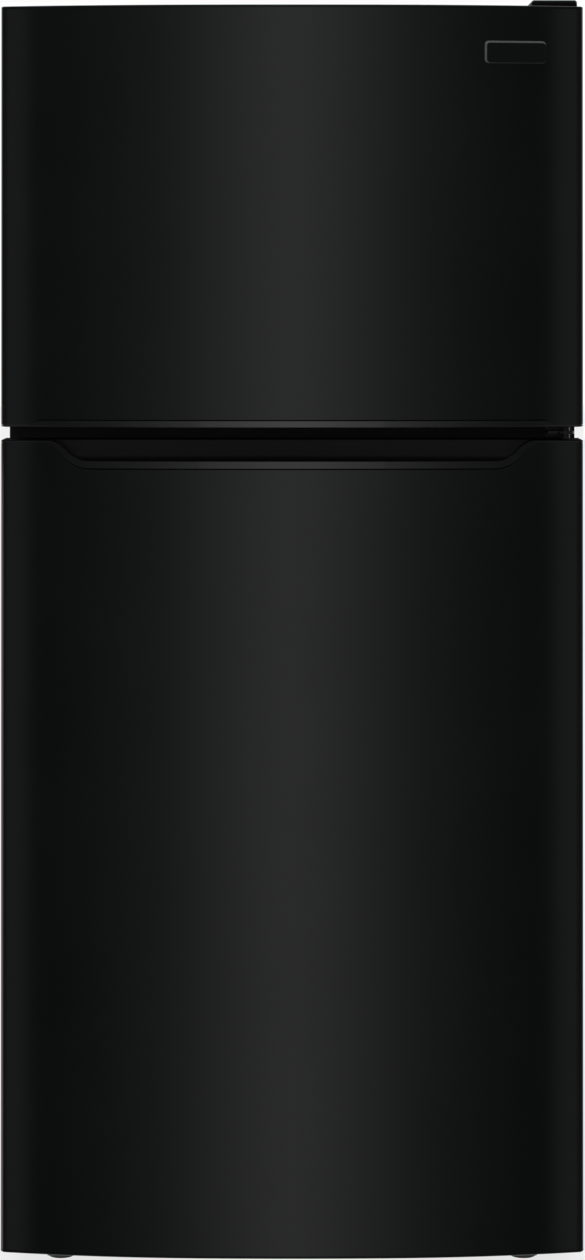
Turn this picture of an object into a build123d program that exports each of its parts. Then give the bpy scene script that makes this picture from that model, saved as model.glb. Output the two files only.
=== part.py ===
from build123d import *
import os
from math import cos, radians, sin

# Top freezer refrigerator, in millimetres.
# The origin is the middle of the footprint on the floor, +Z is up, the doors face -Y and hinge at +X.

# Overall build-up, side to side, front to back and bottom to top
case_width = 752.0
door_overhang = 5.0
case_depth = 674.0
case_top = 1668.0
case_bottom = 42.0
door_bow = 27.0
door_edge = 60.5
gasket_gap = 10.0
door_rise = 40.0
freezer_door_height = 550.0
door_gap = 17.0
top_reveal = 1.0
panel_recess = 4.0

# Sheet thicknesses and clearances
sheet = 1.5
liner_wall = 2.0
seat = 0.3
pin_play = 0.05
run_gap = 1.0

# Door outline in plan
bow_flat = 120.0
bow_flat_sag = 1.35
door_corner = 8.0
door_return = 18.0

# Door caps, pocket handle and finger lip
cap_lid = 3.0
cap_plug = 14.0
cap_edge = 2.0
pocket_inset = 56.0
pocket_run = 60.0
pocket_drop = 27.0
pocket_depth = 48.0
pocket_fillet = 9.0
rim = 9.0
scoop_crest = 1.0
lip_inset = 36.0
lip_run = 17.0
lip_band = 8.5
lip_wall = 16.0
lip_recess = 14.0

# Hinges
hinge_inset = 20.0
hinge_setback = 28.0
pin_radius = 5.0
pin_reach = 9.0
hinge_plate = 3.5
hinge_arm = 11.0
hinge_tail = 80.0
hinge_tail_width = 50.0
hinge_leaf = 24.0
hinge_tab = 2.5
hinge_tab_gap = 1.5
hinge_drop = 2.0
hinge_cover_height = 12.0
hinge_cover_width = 60.0
hinge_cover_wall = 2.0
hinge_cover_edge = 5.0
hinge_cover_round = 4.0

# Base: frame, levelling legs, rollers and toe grille
base_sheet = 2.0
rail_width = 30.0
rail_drop = 20.0
apron_setback = 12.0
apron_drop = 18.0
leg_inset = 66.0
leg_setback = 44.0
leg_radius = 18.0
leg_foot = 8.0
leg_stem = 6.0
leg_boss = 11.0
leg_boss_drop = 16.0
roller_inset = 76.0
roller_setback = 62.0
roller_radius = 20.0
roller_width = 22.0
roller_edge = 3.0
axle_radius = 5.0
cheek = 3.0
grille_thick = 6.0
grille_low = 10.0
grille_high = 38.0
grille_gap = 11.0
grille_slots = 22
grille_slot_width = 16.0
grille_slot_height = 14.0

# Compartments
case_corner = 6.0
side_wall = 46.0
liner_corner = 18.0
ceiling_drop = 56.0
freezer_height = 464.0
divider = 80.0
floor_rise = 70.0
back_foam = 60.0
flange_width = 16.0
liner_flange = 14.0
mullion_depth = 20.0
ledge_width = 12.0
ledge_height = 8.0
machine_height = 200.0
machine_depth = 196.0
machine_foam = 46.0
evaporator_room = 62.0

# Gaskets and the moulded inner faces of the doors
gasket_width = 18.0
gasket_margin = 2.0
gasket_base = 3.0
gasket_step = 3.0
dyke_gap = 8.0
dyke_width = 26.0
dyke_height = 34.0
dyke_corner = 10.0
dyke_fillet = 6.0
tub_depth = 12.0
fresh_tub_height = 652.0
fresh_tub_drop = 68.0

# Shelves
shelf_setback = 104.0
crisper_cover_level = 190.0
middle_shelf_drop = 504.0
upper_shelf_drop = 288.0
freezer_shelf_level = 222.0
shelf_side_gap = 3.0
shelf_back_gap = 8.0
shelf_bar = 18.0
shelf_height = 14.0
glass_thick = 4.0
glass_rest = 7.0
wire_bar = 3.0
wire_rod = 2.0
wire_overhang = 1.5
wire_weld = 0.5
wire_count = 15

# Crisper drawers and humidity sliders
crisper_height = 178.0
crisper_gap = 7.0
crisper_wall = 2.5
crisper_corner = 16.0
crisper_draft = 1.5
crisper_back_gap = 8.0
skid_height = 2.7
skid_width = 10.0
skid_inset = 55.0
skid_spacing = 158.0
pull_width = 158.0
pull_reach = 12.0
pull_height = 16.0
slider_slot = 56.0
slider_stem = 8.0
slider_slot_height = 5.0
slider_head = 26.0
slider_head_height = 11.0
slider_thick = 4.0
slider_edge = 1.0

# Controls and lamp
control_half = 190.0
control_drop = 34.0
control_length = 240.0
control_lead = 20.0
control_wall = 2.5
control_slope = 10.0
knob_x = 95.0
knob_radius = 13.0
knob_length = 12.0
knob_stem = 3.0
knob_grip = 5.0
knob_edge = 0.5
lamp_radius = 12.0
lamp_neck = 8.4
lamp_base = 8.0
lamp_base_length = 16.0
lens_width = 150.0
lens_length = 80.0
switch_x = -240.0
switch_drop = 11.0
switch_width = 16.0
switch_length = 36.0
switch_setback = 6.0
switch_edge = 1.0
plunger_radius = 4.0
plunger_grip = 20.0

# Evaporator behind the freezer's back wall
cover_thick = 4.0
tube_radius = 4.0
evap_side = 90.0
evap_runs = 7
evap_pitch = 40.0
evap_low = 56.0
tube_plate = 2.0
vent_count = 11
vent_pitch = 40.0
vent_width = 6.0
heater_radius = 5.0
heater_drop = 26.0
fan_drop = 96.0
evap_fan_radius = 52.0
evap_fan_chord = 31.0
hub_radius = 13.0
hub_length = 16.0
shaft_radius = 3.0
blade_count = 5
blade_thick = 1.6
root_pitch = 55.0
tip_pitch = 25.0
motor_radius = 26.0
motor_length = 32.0
motor_edge = 3.0
bracket_length = 104.0
bracket_width = 26.0
bracket_thick = 4.0
fan_gap = 6.0
grille_spokes = 16

# Machine compartment
compressor_x = 190.0
compressor_radius = 72.0
compressor_height = 138.0
compressor_dome = 38.0
compressor_base = 22.0
weld_band = 6.0
weld_proud = 2.0
foot_length = 176.0
foot_width = 128.0
foot_thick = 3.0
foot_corner = 11.0
grommet_inset = 16.5
grommet_radius = 11.0
grommet_bore = 5.5
grommet_height = 14.0
stub_length = 26.0
pan_length = 170.0
pan_width = 140.0
pan_height = 26.0
pan_corner = 16.0
pan_wall = 2.5
pan_draft = 3.0
condenser_x = -220.0
condenser_half = 56.0
condenser_runs = 6
condenser_pitch = 22.0
condenser_low = 60.0
condenser_row = 30.0
condenser_fan_x = -100.0
condenser_fan_radius = 58.0
condenser_fan_chord = 35.0
condenser_fan_z = 104.0
cover_slot_rows = 3
cover_slot_columns = 9
cover_slot_length = 52.0
cover_slot_height = 7.0
cover_slot_margin = 78.0
cover_slot_rise = 30.0
inlet_inset = 46.0
inlet_z = 64.0
inlet_radius = 11.0
inlet_bore = 5.0
inlet_flange = 3.0
inlet_length = 14.0

# Door bins, racks and the dairy compartment
bin_wall = 2.5
bin_reach = 78.0
bin_height = 96.0
bin_lean = 8.0
bin_corner = 14.0
low_bin_step = 8.0
high_bin_step = 236.0
rack_reach = 72.0
rack_height = 78.0
low_rack_step = 4.0
high_rack_step = 206.0
dairy_step = 468.0
dairy_height = 88.0
dairy_reach = 84.0
dairy_front = 40.0
lid_thick = 2.5
lid_pin = 2.5
lid_pin_length = 2.4
lid_lug = 5.0
lid_setback = 8.0
lid_corner = 12.0

# Derived levels and planes
depth = case_depth + gasket_gap + door_edge + door_bow
front = -depth / 2
door_back = front + door_bow + door_edge
case_front = door_back + gasket_gap
case_back = depth / 2
panel_back = case_back - panel_recess
door_width = case_width + 2 * door_overhang
opening_width = case_width - 2 * side_wall
half_door = door_width / 2
half_case = case_width / 2
half_open = opening_width / 2
freezer_top = case_top - top_reveal
freezer_bottom = freezer_top - freezer_door_height
fresh_top = freezer_bottom - door_gap
fresh_bottom = door_rise
hinge_x = half_door - hinge_inset
hinge_y = door_back - hinge_setback
pocket_end = half_door - pocket_inset
pocket_flat = pocket_end - pocket_run
lip_end = half_door - lip_inset
lip_flat = lip_end - lip_run
grille_half = hinge_x - hinge_leaf - grille_gap
freezer_ceiling = case_top - ceiling_drop
freezer_floor = freezer_ceiling - freezer_height
fresh_ceiling = freezer_floor - divider
fresh_floor = case_bottom + floor_rise
shelf_heights = (fresh_floor + crisper_cover_level, fresh_ceiling - middle_shelf_drop,
                 fresh_ceiling - upper_shelf_drop)
inner_back = case_back - back_foam
half_tub = half_open - dyke_gap - dyke_width
tub_back = door_back - tub_depth
door_inside = liner_wall + seat
freezer_tub_low = freezer_floor + dyke_gap + dyke_width
freezer_tub_high = freezer_ceiling - dyke_gap - dyke_width
fresh_tub_high = fresh_ceiling - fresh_tub_drop
fresh_tub_low = fresh_tub_high - fresh_tub_height
machine_top = case_bottom + machine_height
machine_front = case_back - machine_depth
shelf_front = case_front + shelf_setback
freezer_shelf_z = freezer_floor + freezer_shelf_level
evaporator_y = inner_back - evaporator_room
evap_half = half_open - evap_side
mullion_low = fresh_ceiling + liner_flange + seat
mullion_high = freezer_floor - liner_flange - seat
base_top = case_bottom - seat
apron_y = case_front + apron_setback
leg_x = half_case - leg_inset
leg_y = case_front + leg_setback
roller_x = half_case - roller_inset
roller_y = case_back - roller_setback
hump_top = machine_top + machine_foam
hump_front = machine_front - machine_foam

# A short length past a face, so that cuts run clean through
past = 1.0


def facing(y):
    """Plane at depth y seen from the front: its x is +X, its y is +Z and its normal points to -Y."""
    return Plane(origin=(0, y, 0), x_dir=(1, 0, 0), z_dir=(0, -1, 0))


def sideways(x):
    """Plane at x seen from +X: its x is +Y, its y is +Z and its normal points to +X."""
    return Plane(origin=(x, 0, 0), x_dir=(0, 1, 0), z_dir=(1, 0, 0))


def door_face(inset=0.0, back_inset=0.0):
    """Plan outline of a door, with a three-arc bow in front and a flat back, drawn in by the insets."""
    nose = front + inset
    half = half_door - inset
    back = door_back - back_inset
    slope = 2 * bow_flat_sag / bow_flat
    with BuildLine() as outline:
        ThreePointArc((-bow_flat, nose + bow_flat_sag), (0, nose), (bow_flat, nose + bow_flat_sag))
        TangentArc((bow_flat, nose + bow_flat_sag), (half, nose + door_bow), tangent=(1, slope))
        TangentArc((-bow_flat, nose + bow_flat_sag), (-half, nose + door_bow), tangent=(-1, slope))
        Polyline((half, nose + door_bow), (half, back), (-half, back), (-half, nose + door_bow))
    face = make_face(outline.edges())
    front_corners = face.vertices().group_by(Axis.Y)[1]
    fillet(front_corners, radius=door_corner - inset)


def scoop_face(flat, end, low, high, above):
    """Front view of a scoop: a flat floor at low, an S-curve up to high at each end, closed at above."""
    bend_x = (flat + end) / 2
    bend_z = (low + high) / 2
    with BuildLine() as outline:
        for side in (-1, 1):
            TangentArc((side * flat, low), (side * bend_x, bend_z), tangent=(side, 0))
            TangentArc((side * end, high), (side * bend_x, bend_z), tangent=(-side, 0))
        Line((-flat, low), (flat, low))
        Polyline((end, high), (end, above), (-end, above), (-end, high))
    make_face(outline.edges())


def ring_face(inner_width, inner_low, inner_high, width, corner):
    """Front view of a rounded rectangular ring of the given width around an inner opening."""
    middle = (inner_low + inner_high) / 2
    height = inner_high - inner_low
    with Locations((0, middle)):
        RectangleRounded(inner_width + 2 * width, height + 2 * width, corner + width)
        RectangleRounded(inner_width, height, corner, mode=Mode.SUBTRACT)


def write(piece, name):
    """Labels a finished piece and writes it as one STEP file."""
    piece.part.label = name
    export_step(piece.part, f"parts/{name}.step")


os.makedirs("parts", exist_ok=True)


def door_skin(low, high, scoop):
    """Painted steel wrap of a door: bowed front, side returns, flanges at the back and a scooped edge."""
    middle = (low + high) / 2
    with BuildPart() as skin:
        with BuildSketch(Plane.XY.offset(low + cap_lid + seat)):
            door_face()
        extrude(amount=high - low - 2 * (cap_lid + seat))
        with BuildSketch(Plane.XY.offset(low)):
            door_face(sheet, sheet)
        extrude(amount=high - low, mode=Mode.SUBTRACT)
        with BuildSketch(facing(door_back)):
            with Locations((0, middle)):
                Rectangle(door_width - 2 * door_return, high - low)
        extrude(amount=2 * sheet, both=True, mode=Mode.SUBTRACT)
        with BuildSketch(facing(front - past)):
            scoop_face(*scoop)
        extrude(amount=-(door_bow + door_edge / 2), mode=Mode.SUBTRACT)
    return skin


# Freezer door
freezer_band = freezer_bottom + lip_band
lip_crest = freezer_bottom + cap_lid - scoop_crest
freezer_door_skin = door_skin(freezer_bottom, freezer_top,
                              (lip_flat, lip_end, freezer_band + seat, lip_crest + seat, freezer_bottom))
write(freezer_door_skin, "freezer_door_skin")

with BuildPart() as freezer_door_top_cap:
    with BuildSketch(Plane.XY.offset(freezer_top - cap_lid)):
        door_face()
    extrude(amount=cap_lid)
    fillet(freezer_door_top_cap.faces().sort_by(Axis.Z)[-1].edges(), radius=cap_edge)
    with BuildSketch(Plane.XY.offset(freezer_top - cap_lid - cap_plug)):
        door_face(sheet + seat, door_inside)
    extrude(amount=cap_plug)
    with Locations((hinge_x, hinge_y, freezer_top)):
        Hole(pin_radius + pin_play, depth=pin_reach + run_gap)
write(freezer_door_top_cap, "freezer_door_top_cap")

with BuildPart() as freezer_door_bottom_cap:
    with BuildSketch(Plane.XY.offset(freezer_bottom)):
        door_face(0, door_inside)
    extrude(amount=lip_band)
    with BuildSketch(facing(front - past)):
        scoop_face(lip_flat, lip_end, freezer_band, lip_crest, freezer_bottom)
    extrude(amount=-(door_back - front + past), mode=Mode.INTERSECT)
    with BuildSketch(Plane.XY.offset(freezer_bottom)):
        door_face()
    extrude(amount=cap_lid)
    fillet(freezer_door_bottom_cap.faces().sort_by(Axis.Z)[0].edges(), radius=cap_edge)
    with BuildSketch(Plane.XY.offset(freezer_bottom + cap_lid)):
        door_face(sheet + seat, door_inside)
    extrude(amount=cap_plug)
    with BuildSketch(Plane.XY.offset(freezer_bottom)):
        lip_bow = door_bow * (lip_flat / half_door) ** 2
        with BuildLine():
            ThreePointArc((-lip_flat, front + lip_wall + lip_bow), (0, front + lip_wall),
                          (lip_flat, front + lip_wall + lip_bow))
            Polyline((lip_flat, front + lip_wall + lip_bow), (lip_flat, door_back - lip_wall),
                     (-lip_flat, door_back - lip_wall), (-lip_flat, front + lip_wall + lip_bow))
        make_face()
    extrude(amount=lip_recess, mode=Mode.SUBTRACT)
    with Locations(Location((hinge_x, hinge_y, freezer_bottom), (180, 0, 0))):
        Hole(pin_radius + pin_play, depth=pin_reach + run_gap)
write(freezer_door_bottom_cap, "freezer_door_bottom_cap")


def door_foam(low, high, tub_low, tub_high):
    """Foam core of a door, hollowed behind the dished middle of its inner face."""
    grow = liner_wall + seat
    with BuildPart() as foam:
        with BuildSketch(Plane.XY.offset(low)):
            door_face(sheet + seat, door_inside)
        extrude(amount=high - low)
        with BuildSketch(facing(door_back)):
            with Locations((0, (tub_low + tub_high) / 2)):
                RectangleRounded(2 * (half_tub + grow), tub_high - tub_low + 2 * grow, dyke_corner + grow)
        extrude(amount=tub_depth + grow, mode=Mode.SUBTRACT)
    return foam


def door_liner(low, high, tub_low, tub_high):
    """Vacuum-formed inner face of a door: flat flange, raised dyke ring and a dished middle."""
    middle = (0, (tub_low + tub_high) / 2)
    tub_height = tub_high - tub_low
    with BuildPart() as liner:
        with BuildSketch(facing(door_back)):
            with Locations((0, (low + high) / 2)):
                Rectangle(door_width - 2 * (door_return + seat), high - low)
        extrude(amount=liner_wall)
        with BuildSketch(facing(door_back)):
            with Locations(middle):
                RectangleRounded(2 * (half_tub + liner_wall), tub_height + 2 * liner_wall,
                                 dyke_corner + liner_wall)
        extrude(amount=tub_depth + liner_wall)
        with BuildSketch(facing(door_back)):
            with Locations(middle):
                RectangleRounded(2 * (half_tub + dyke_width), tub_height + 2 * dyke_width,
                                 dyke_corner + dyke_width)
        extrude(amount=-dyke_height)
        with BuildSketch(facing(door_back + dyke_height)):
            with Locations(middle):
                RectangleRounded(2 * half_tub, tub_height, dyke_corner)
        extrude(amount=dyke_height + tub_depth, mode=Mode.SUBTRACT)
        fillet(liner.faces().sort_by(Axis.Y)[-1].edges(), radius=dyke_fillet)
    return liner


def door_gasket(open_low, open_high):
    """Magnetic gasket round a compartment opening: a wide base on the door and a narrower bulb."""
    low = open_low - gasket_margin
    high = open_high + gasket_margin
    clear = opening_width + 2 * gasket_margin
    with BuildPart() as gasket:
        with BuildSketch(facing(door_back)):
            ring_face(clear, low, high, gasket_width, liner_corner)
        extrude(amount=-gasket_base)
        with BuildSketch(facing(door_back)):
            ring_face(clear + 2 * gasket_step, low - gasket_step, high + gasket_step,
                      gasket_width - 2 * gasket_step, liner_corner + gasket_step)
        extrude(amount=-(gasket_gap - seat))
        bulb = gasket.faces().sort_by(Axis.Y)[-1]
        fillet(bulb.edges(), radius=gasket_step)
    return gasket


def bin_block(low, high, reach, inset):
    """Block with a leaning front between the dykes of a door, drawn in by the inset."""
    half = half_tub - seat - inset
    back = tub_back + seat + inset
    lip = door_back + reach - inset
    with BuildPart() as block:
        with BuildSketch(sideways(-half)):
            with BuildLine():
                Polyline((back, low), (lip - bin_lean, low), (lip, high), (back, high), close=True)
            make_face()
        extrude(amount=2 * half)
        leaning = block.faces().sort_by(Axis.Y)[-1]
        fillet(leaning.edges().filter_by(Axis.X, reverse=True), radius=bin_corner - inset)
        fillet(block.faces().sort_by(Axis.Z)[0].edges(), radius=(bin_corner - inset) / 2)
    return block.part


def door_bin(low, height, reach):
    """Open-topped bin between the dykes of a door, with a leaning front."""
    with BuildPart() as tray:
        add(bin_block(low, low + height, reach, 0))
        add(bin_block(low + bin_wall, low + height, reach, bin_wall), mode=Mode.SUBTRACT)
    return tray


def tapered_block(place, width, length, top, height, corner, draft):
    """Block that narrows downwards from its top, with rounded corners and a rounded underside."""
    with BuildPart() as block:
        with BuildSketch(Plane.XY.offset(top)):
            with Locations(place):
                RectangleRounded(width, length, corner)
        extrude(amount=-height, taper=draft)
        fillet(block.faces().sort_by(Axis.Z)[0].edges(), radius=corner / 2)
    return block.part


def tapered_tray(place, width, length, top, height, corner, draft, wall):
    """Open-topped tray with tapered sides and an even wall."""
    with BuildPart() as tray:
        add(tapered_block(place, width, length, top, height, corner, draft))
        add(tapered_block(place, width - 2 * wall, length - 2 * wall, top, height - wall, corner - wall,
                          draft), mode=Mode.SUBTRACT)
    return tray.part


freezer_door_insulation = door_foam(freezer_bottom + cap_lid + cap_plug + seat,
                                    freezer_top - cap_lid - cap_plug - seat,
                                    freezer_tub_low, freezer_tub_high)
write(freezer_door_insulation, "freezer_door_insulation")

freezer_door_liner = door_liner(freezer_bottom + cap_lid + seat, freezer_top - cap_lid - seat,
                                freezer_tub_low, freezer_tub_high)
write(freezer_door_liner, "freezer_door_liner")

freezer_door_gasket = door_gasket(freezer_floor, freezer_ceiling)
write(freezer_door_gasket, "freezer_door_gasket")

with BuildPart() as freezer_door_racks:
    for step in (low_rack_step, high_rack_step):
        add(door_bin(freezer_tub_low + step, rack_height, rack_reach).part)
write(freezer_door_racks, "freezer_door_racks")

# Fresh-food door
pocket_floor = fresh_top - pocket_drop
fresh_cap_low = pocket_floor - cap_plug
rim_low = pocket_floor - rim
rim_end = pocket_end + rim
rim_crest = fresh_top - cap_lid + scoop_crest
fresh_door_skin = door_skin(fresh_bottom, fresh_top,
                            (pocket_flat, rim_end, rim_low - seat, rim_crest - seat, fresh_top))
write(fresh_door_skin, "fresh_door_skin")

with BuildPart() as pocket:
    with BuildSketch(facing(front - past)):
        scoop_face(pocket_flat, pocket_end, pocket_floor, fresh_top + scoop_crest,
                   fresh_top + 2 * scoop_crest)
    extrude(amount=-(pocket_depth + past))
    with BuildSketch(sideways(-half_door)) as pocket_section:
        with Locations((front - past, pocket_floor)):
            Rectangle(pocket_depth + past, pocket_drop + 2 * scoop_crest, align=(Align.MIN, Align.MIN))
        fillet(pocket_section.vertices().group_by(Axis.Y)[0].sort_by(Axis.X)[-1], radius=pocket_fillet)
    extrude(amount=door_width, mode=Mode.INTERSECT)

with BuildPart() as fresh_door_top_cap:
    with BuildSketch(Plane.XY.offset(rim_low)):
        door_face(0, door_inside)
    extrude(amount=pocket_drop + rim)
    with BuildSketch(facing(front - past)):
        scoop_face(pocket_flat, rim_end, rim_low, rim_crest, fresh_top)
    extrude(amount=-(door_back - front + past), mode=Mode.INTERSECT)
    with BuildSketch(Plane.XY.offset(fresh_cap_low)):
        door_face(sheet + seat, door_inside)
    extrude(amount=fresh_top - cap_lid - fresh_cap_low)
    with BuildSketch(Plane.XY.offset(fresh_top - cap_lid)):
        door_face()
    extrude(amount=cap_lid)
    fillet(fresh_door_top_cap.faces().sort_by(Axis.Z)[-1].edges(), radius=cap_edge)
    add(pocket.part, mode=Mode.SUBTRACT)
    with Locations((hinge_x, hinge_y, fresh_top)):
        Hole(pin_radius + pin_play, depth=pin_reach + run_gap)
write(fresh_door_top_cap, "fresh_door_top_cap")

with BuildPart() as fresh_door_bottom_cap:
    with BuildSketch(Plane.XY.offset(fresh_bottom)):
        door_face()
    extrude(amount=cap_lid)
    fillet(fresh_door_bottom_cap.faces().sort_by(Axis.Z)[0].edges(), radius=cap_edge)
    with BuildSketch(Plane.XY.offset(fresh_bottom + cap_lid)):
        door_face(sheet + seat, door_inside)
    extrude(amount=cap_plug)
    with Locations(Location((hinge_x, hinge_y, fresh_bottom), (180, 0, 0))):
        Hole(pin_radius + pin_play, depth=pin_reach + run_gap)
write(fresh_door_bottom_cap, "fresh_door_bottom_cap")

fresh_door_insulation = door_foam(fresh_bottom + cap_lid + cap_plug + seat, fresh_cap_low - seat,
                                  fresh_tub_low, fresh_tub_high)
write(fresh_door_insulation, "fresh_door_insulation")

fresh_door_liner = door_liner(fresh_bottom + cap_lid + seat, fresh_top - cap_lid - seat,
                              fresh_tub_low, fresh_tub_high)
write(fresh_door_liner, "fresh_door_liner")

fresh_door_gasket = door_gasket(fresh_floor, fresh_ceiling)
write(fresh_door_gasket, "fresh_door_gasket")

with BuildPart() as fresh_door_bins:
    for step in (low_bin_step, high_bin_step):
        add(door_bin(fresh_tub_low + step, bin_height, bin_reach).part)
write(fresh_door_bins, "fresh_door_bins")

# Dairy compartment with a lid that flips up on a barrel along its back edge
dairy_low = fresh_tub_low + dairy_step
dairy_top = dairy_low + dairy_height
half_bin = half_tub - seat
half_lid = half_bin - bin_wall - run_gap
lid_y = tub_back + seat + bin_wall + lid_setback
lid_z = dairy_top - lid_lug
lid_front = door_back + dairy_reach

with BuildPart() as dairy_bin:
    add(door_bin(dairy_low, dairy_height, dairy_reach).part)
    with BuildSketch(facing(door_back + dairy_reach / 2)):
        with Locations((0, dairy_low + dairy_front)):
            Rectangle(2 * (half_bin - bin_wall), dairy_height, align=(Align.CENTER, Align.MIN))
    extrude(amount=-dairy_reach, mode=Mode.SUBTRACT)
    with BuildSketch(sideways(-half_bin - past)):
        with Locations((lid_y, lid_z)):
            Circle(lid_pin + pin_play)
    extrude(amount=2 * (half_bin + past), mode=Mode.SUBTRACT)
write(dairy_bin, "dairy_bin")

with BuildPart() as dairy_lid:
    lid_low = dairy_low + dairy_front + run_gap
    lid_under = dairy_top - lid_thick
    barrel_y = lid_y + (lid_lug ** 2 - (lid_under - lid_z) ** 2) ** 0.5
    with BuildSketch(sideways(-half_lid)) as lid_profile:
        with BuildLine():
            Polyline((lid_y, dairy_top), (lid_front, dairy_top), (lid_front, lid_low),
                     (lid_front - lid_thick, lid_low), (lid_front - lid_thick, lid_under),
                     (barrel_y, lid_under))
            ThreePointArc((barrel_y, lid_under), (lid_y - lid_lug, lid_z), (lid_y, dairy_top))
        make_face()
        inner_bend = lid_profile.vertices().group_by(Axis.X)[-2].sort_by(Axis.Y)[-1]
        fillet(inner_bend, radius=lid_corner - lid_thick)
        outer_bend = lid_profile.vertices().group_by(Axis.X)[-1].sort_by(Axis.Y)[-1]
        fillet(outer_bend, radius=lid_corner)
    extrude(amount=2 * half_lid)
    with BuildSketch(sideways(-half_lid - lid_pin_length)):
        with Locations((lid_y, lid_z)):
            Circle(lid_pin)
    extrude(amount=2 * (half_lid + lid_pin_length))
write(dairy_lid, "dairy_lid")

# Cabinet shell
inside_case = half_case - sheet
flange_x = half_case - flange_width - seat

with BuildPart() as outer_case:
    with BuildSketch(facing(case_front)) as case_wrap:
        with Locations((0, case_bottom)):
            Rectangle(case_width, case_top - case_bottom, align=(Align.CENTER, Align.MIN))
        fillet(case_wrap.vertices().group_by(Axis.Y)[-1], radius=case_corner)
        with Locations((0, case_bottom)):
            Rectangle(2 * inside_case, case_top - sheet - case_bottom, align=(Align.CENTER, Align.MIN),
                      mode=Mode.SUBTRACT)
    extrude(amount=-case_depth)
    with BuildSketch(facing(case_front)):
        with Locations((0, case_bottom)):
            Rectangle(2 * inside_case + sheet, case_top - sheet - case_bottom,
                      align=(Align.CENTER, Align.MIN))
            Rectangle(case_width - 2 * flange_width, case_top - flange_width - case_bottom,
                      align=(Align.CENTER, Align.MIN), mode=Mode.SUBTRACT)
    extrude(amount=-sheet)
    with BuildSketch(sideways(-inside_case)):
        with BuildLine():
            Polyline((case_front, case_bottom), (machine_front + sheet, case_bottom),
                     (machine_front + sheet, machine_top), (case_back, machine_top),
                     (case_back, machine_top + sheet), (machine_front, machine_top + sheet),
                     (machine_front, case_bottom + sheet), (case_front, case_bottom + sheet), close=True)
        make_face()
    extrude(amount=2 * inside_case)
write(outer_case, "outer_case")

with BuildPart() as back_panel:
    back_low = machine_top + sheet + seat
    back_high = case_top - sheet - seat
    with BuildSketch(facing(panel_back)):
        with Locations((0, back_low)):
            Rectangle(2 * (inside_case - seat), back_high - back_low, align=(Align.CENTER, Align.MIN))
    extrude(amount=sheet)
write(back_panel, "back_panel")


def freezer_face(grow):
    """Front view of the freezer opening, grown on every side."""
    with Locations((0, (freezer_floor + freezer_ceiling) / 2)):
        RectangleRounded(opening_width + 2 * grow, freezer_height + 2 * grow, liner_corner + grow)


def fresh_block(grow):
    """The fresh-food space with its step over the machine compartment, grown on every side."""
    half = half_open + grow
    low = fresh_floor - grow
    high = fresh_ceiling + grow
    with BuildPart() as block:
        with BuildSketch(sideways(-half)):
            with BuildLine():
                Polyline((case_front, low), (hump_front + grow, low), (hump_front + grow, hump_top - grow),
                         (inner_back + grow, hump_top - grow), (inner_back + grow, high), (case_front, high),
                         close=True)
            make_face()
        extrude(amount=2 * half)
        rails = block.edges().filter_by(Axis.Y).group_by(Axis.Z)
        fillet(rails[0] + rails[-1], radius=liner_corner + grow)
    return block.part


def ledges(z, back):
    """A pair of moulded ledges along the side walls, with their tops at z."""
    with BuildPart() as pair:
        with BuildSketch(facing(shelf_front)):
            for side in (-1, 1):
                with Locations((side * (half_open - ledge_width / 2), z - ledge_height / 2)):
                    Rectangle(ledge_width, ledge_height)
        extrude(amount=-(back - shelf_front))
    return pair.part


with BuildPart() as freezer_liner:
    with BuildSketch(facing(case_front)):
        freezer_face(liner_wall)
    extrude(amount=-(inner_back + liner_wall - case_front))
    with BuildSketch(facing(case_front)):
        with Locations((0, freezer_floor - liner_flange)):
            Rectangle(2 * flange_x, case_top - flange_width - seat - freezer_floor + liner_flange,
                      align=(Align.CENTER, Align.MIN))
    extrude(amount=-liner_wall)
    with BuildSketch(facing(case_front)):
        freezer_face(0)
    extrude(amount=-(inner_back - case_front), mode=Mode.SUBTRACT)
    add(ledges(freezer_shelf_z - seat, evaporator_y - cover_thick - seat))
write(freezer_liner, "freezer_liner")

with BuildPart() as fresh_food_liner:
    add(fresh_block(liner_wall))
    with BuildSketch(facing(case_front)):
        with Locations((0, case_bottom + sheet + seat)):
            Rectangle(2 * flange_x, fresh_ceiling + liner_flange - case_bottom - sheet - seat,
                      align=(Align.CENTER, Align.MIN))
    extrude(amount=-liner_wall)
    add(fresh_block(0), mode=Mode.SUBTRACT)
    for shelf_z in shelf_heights:
        add(ledges(shelf_z - seat, inner_back))
write(fresh_food_liner, "fresh_food_liner")

with BuildPart() as cabinet_insulation:
    foam_front = case_front + liner_wall + seat
    foam_low = case_bottom + sheet + seat
    with BuildSketch(facing(foam_front)):
        with Locations((0, foam_low)):
            Rectangle(2 * (inside_case - seat), case_top - sheet - seat - foam_low,
                      align=(Align.CENTER, Align.MIN))
    extrude(amount=-(panel_back - sheet - seat - foam_front))
    with BuildSketch(sideways(-half_case)):
        with Locations((machine_front - seat, foam_low)):
            Rectangle(machine_depth, machine_height + seat, align=(Align.MIN, Align.MIN))
    extrude(amount=case_width, mode=Mode.SUBTRACT)
    with BuildSketch(facing(case_front)):
        freezer_face(liner_wall + seat)
    extrude(amount=-(inner_back + liner_wall + seat - case_front), mode=Mode.SUBTRACT)
    add(fresh_block(liner_wall + seat), mode=Mode.SUBTRACT)
    with BuildSketch(facing(case_front)):
        with Locations((0, (mullion_low + mullion_high) / 2)):
            Rectangle(2 * (flange_x + seat), mullion_high - mullion_low + 2 * seat)
    extrude(amount=-(mullion_depth + seat), mode=Mode.SUBTRACT)
write(cabinet_insulation, "cabinet_insulation")

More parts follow.
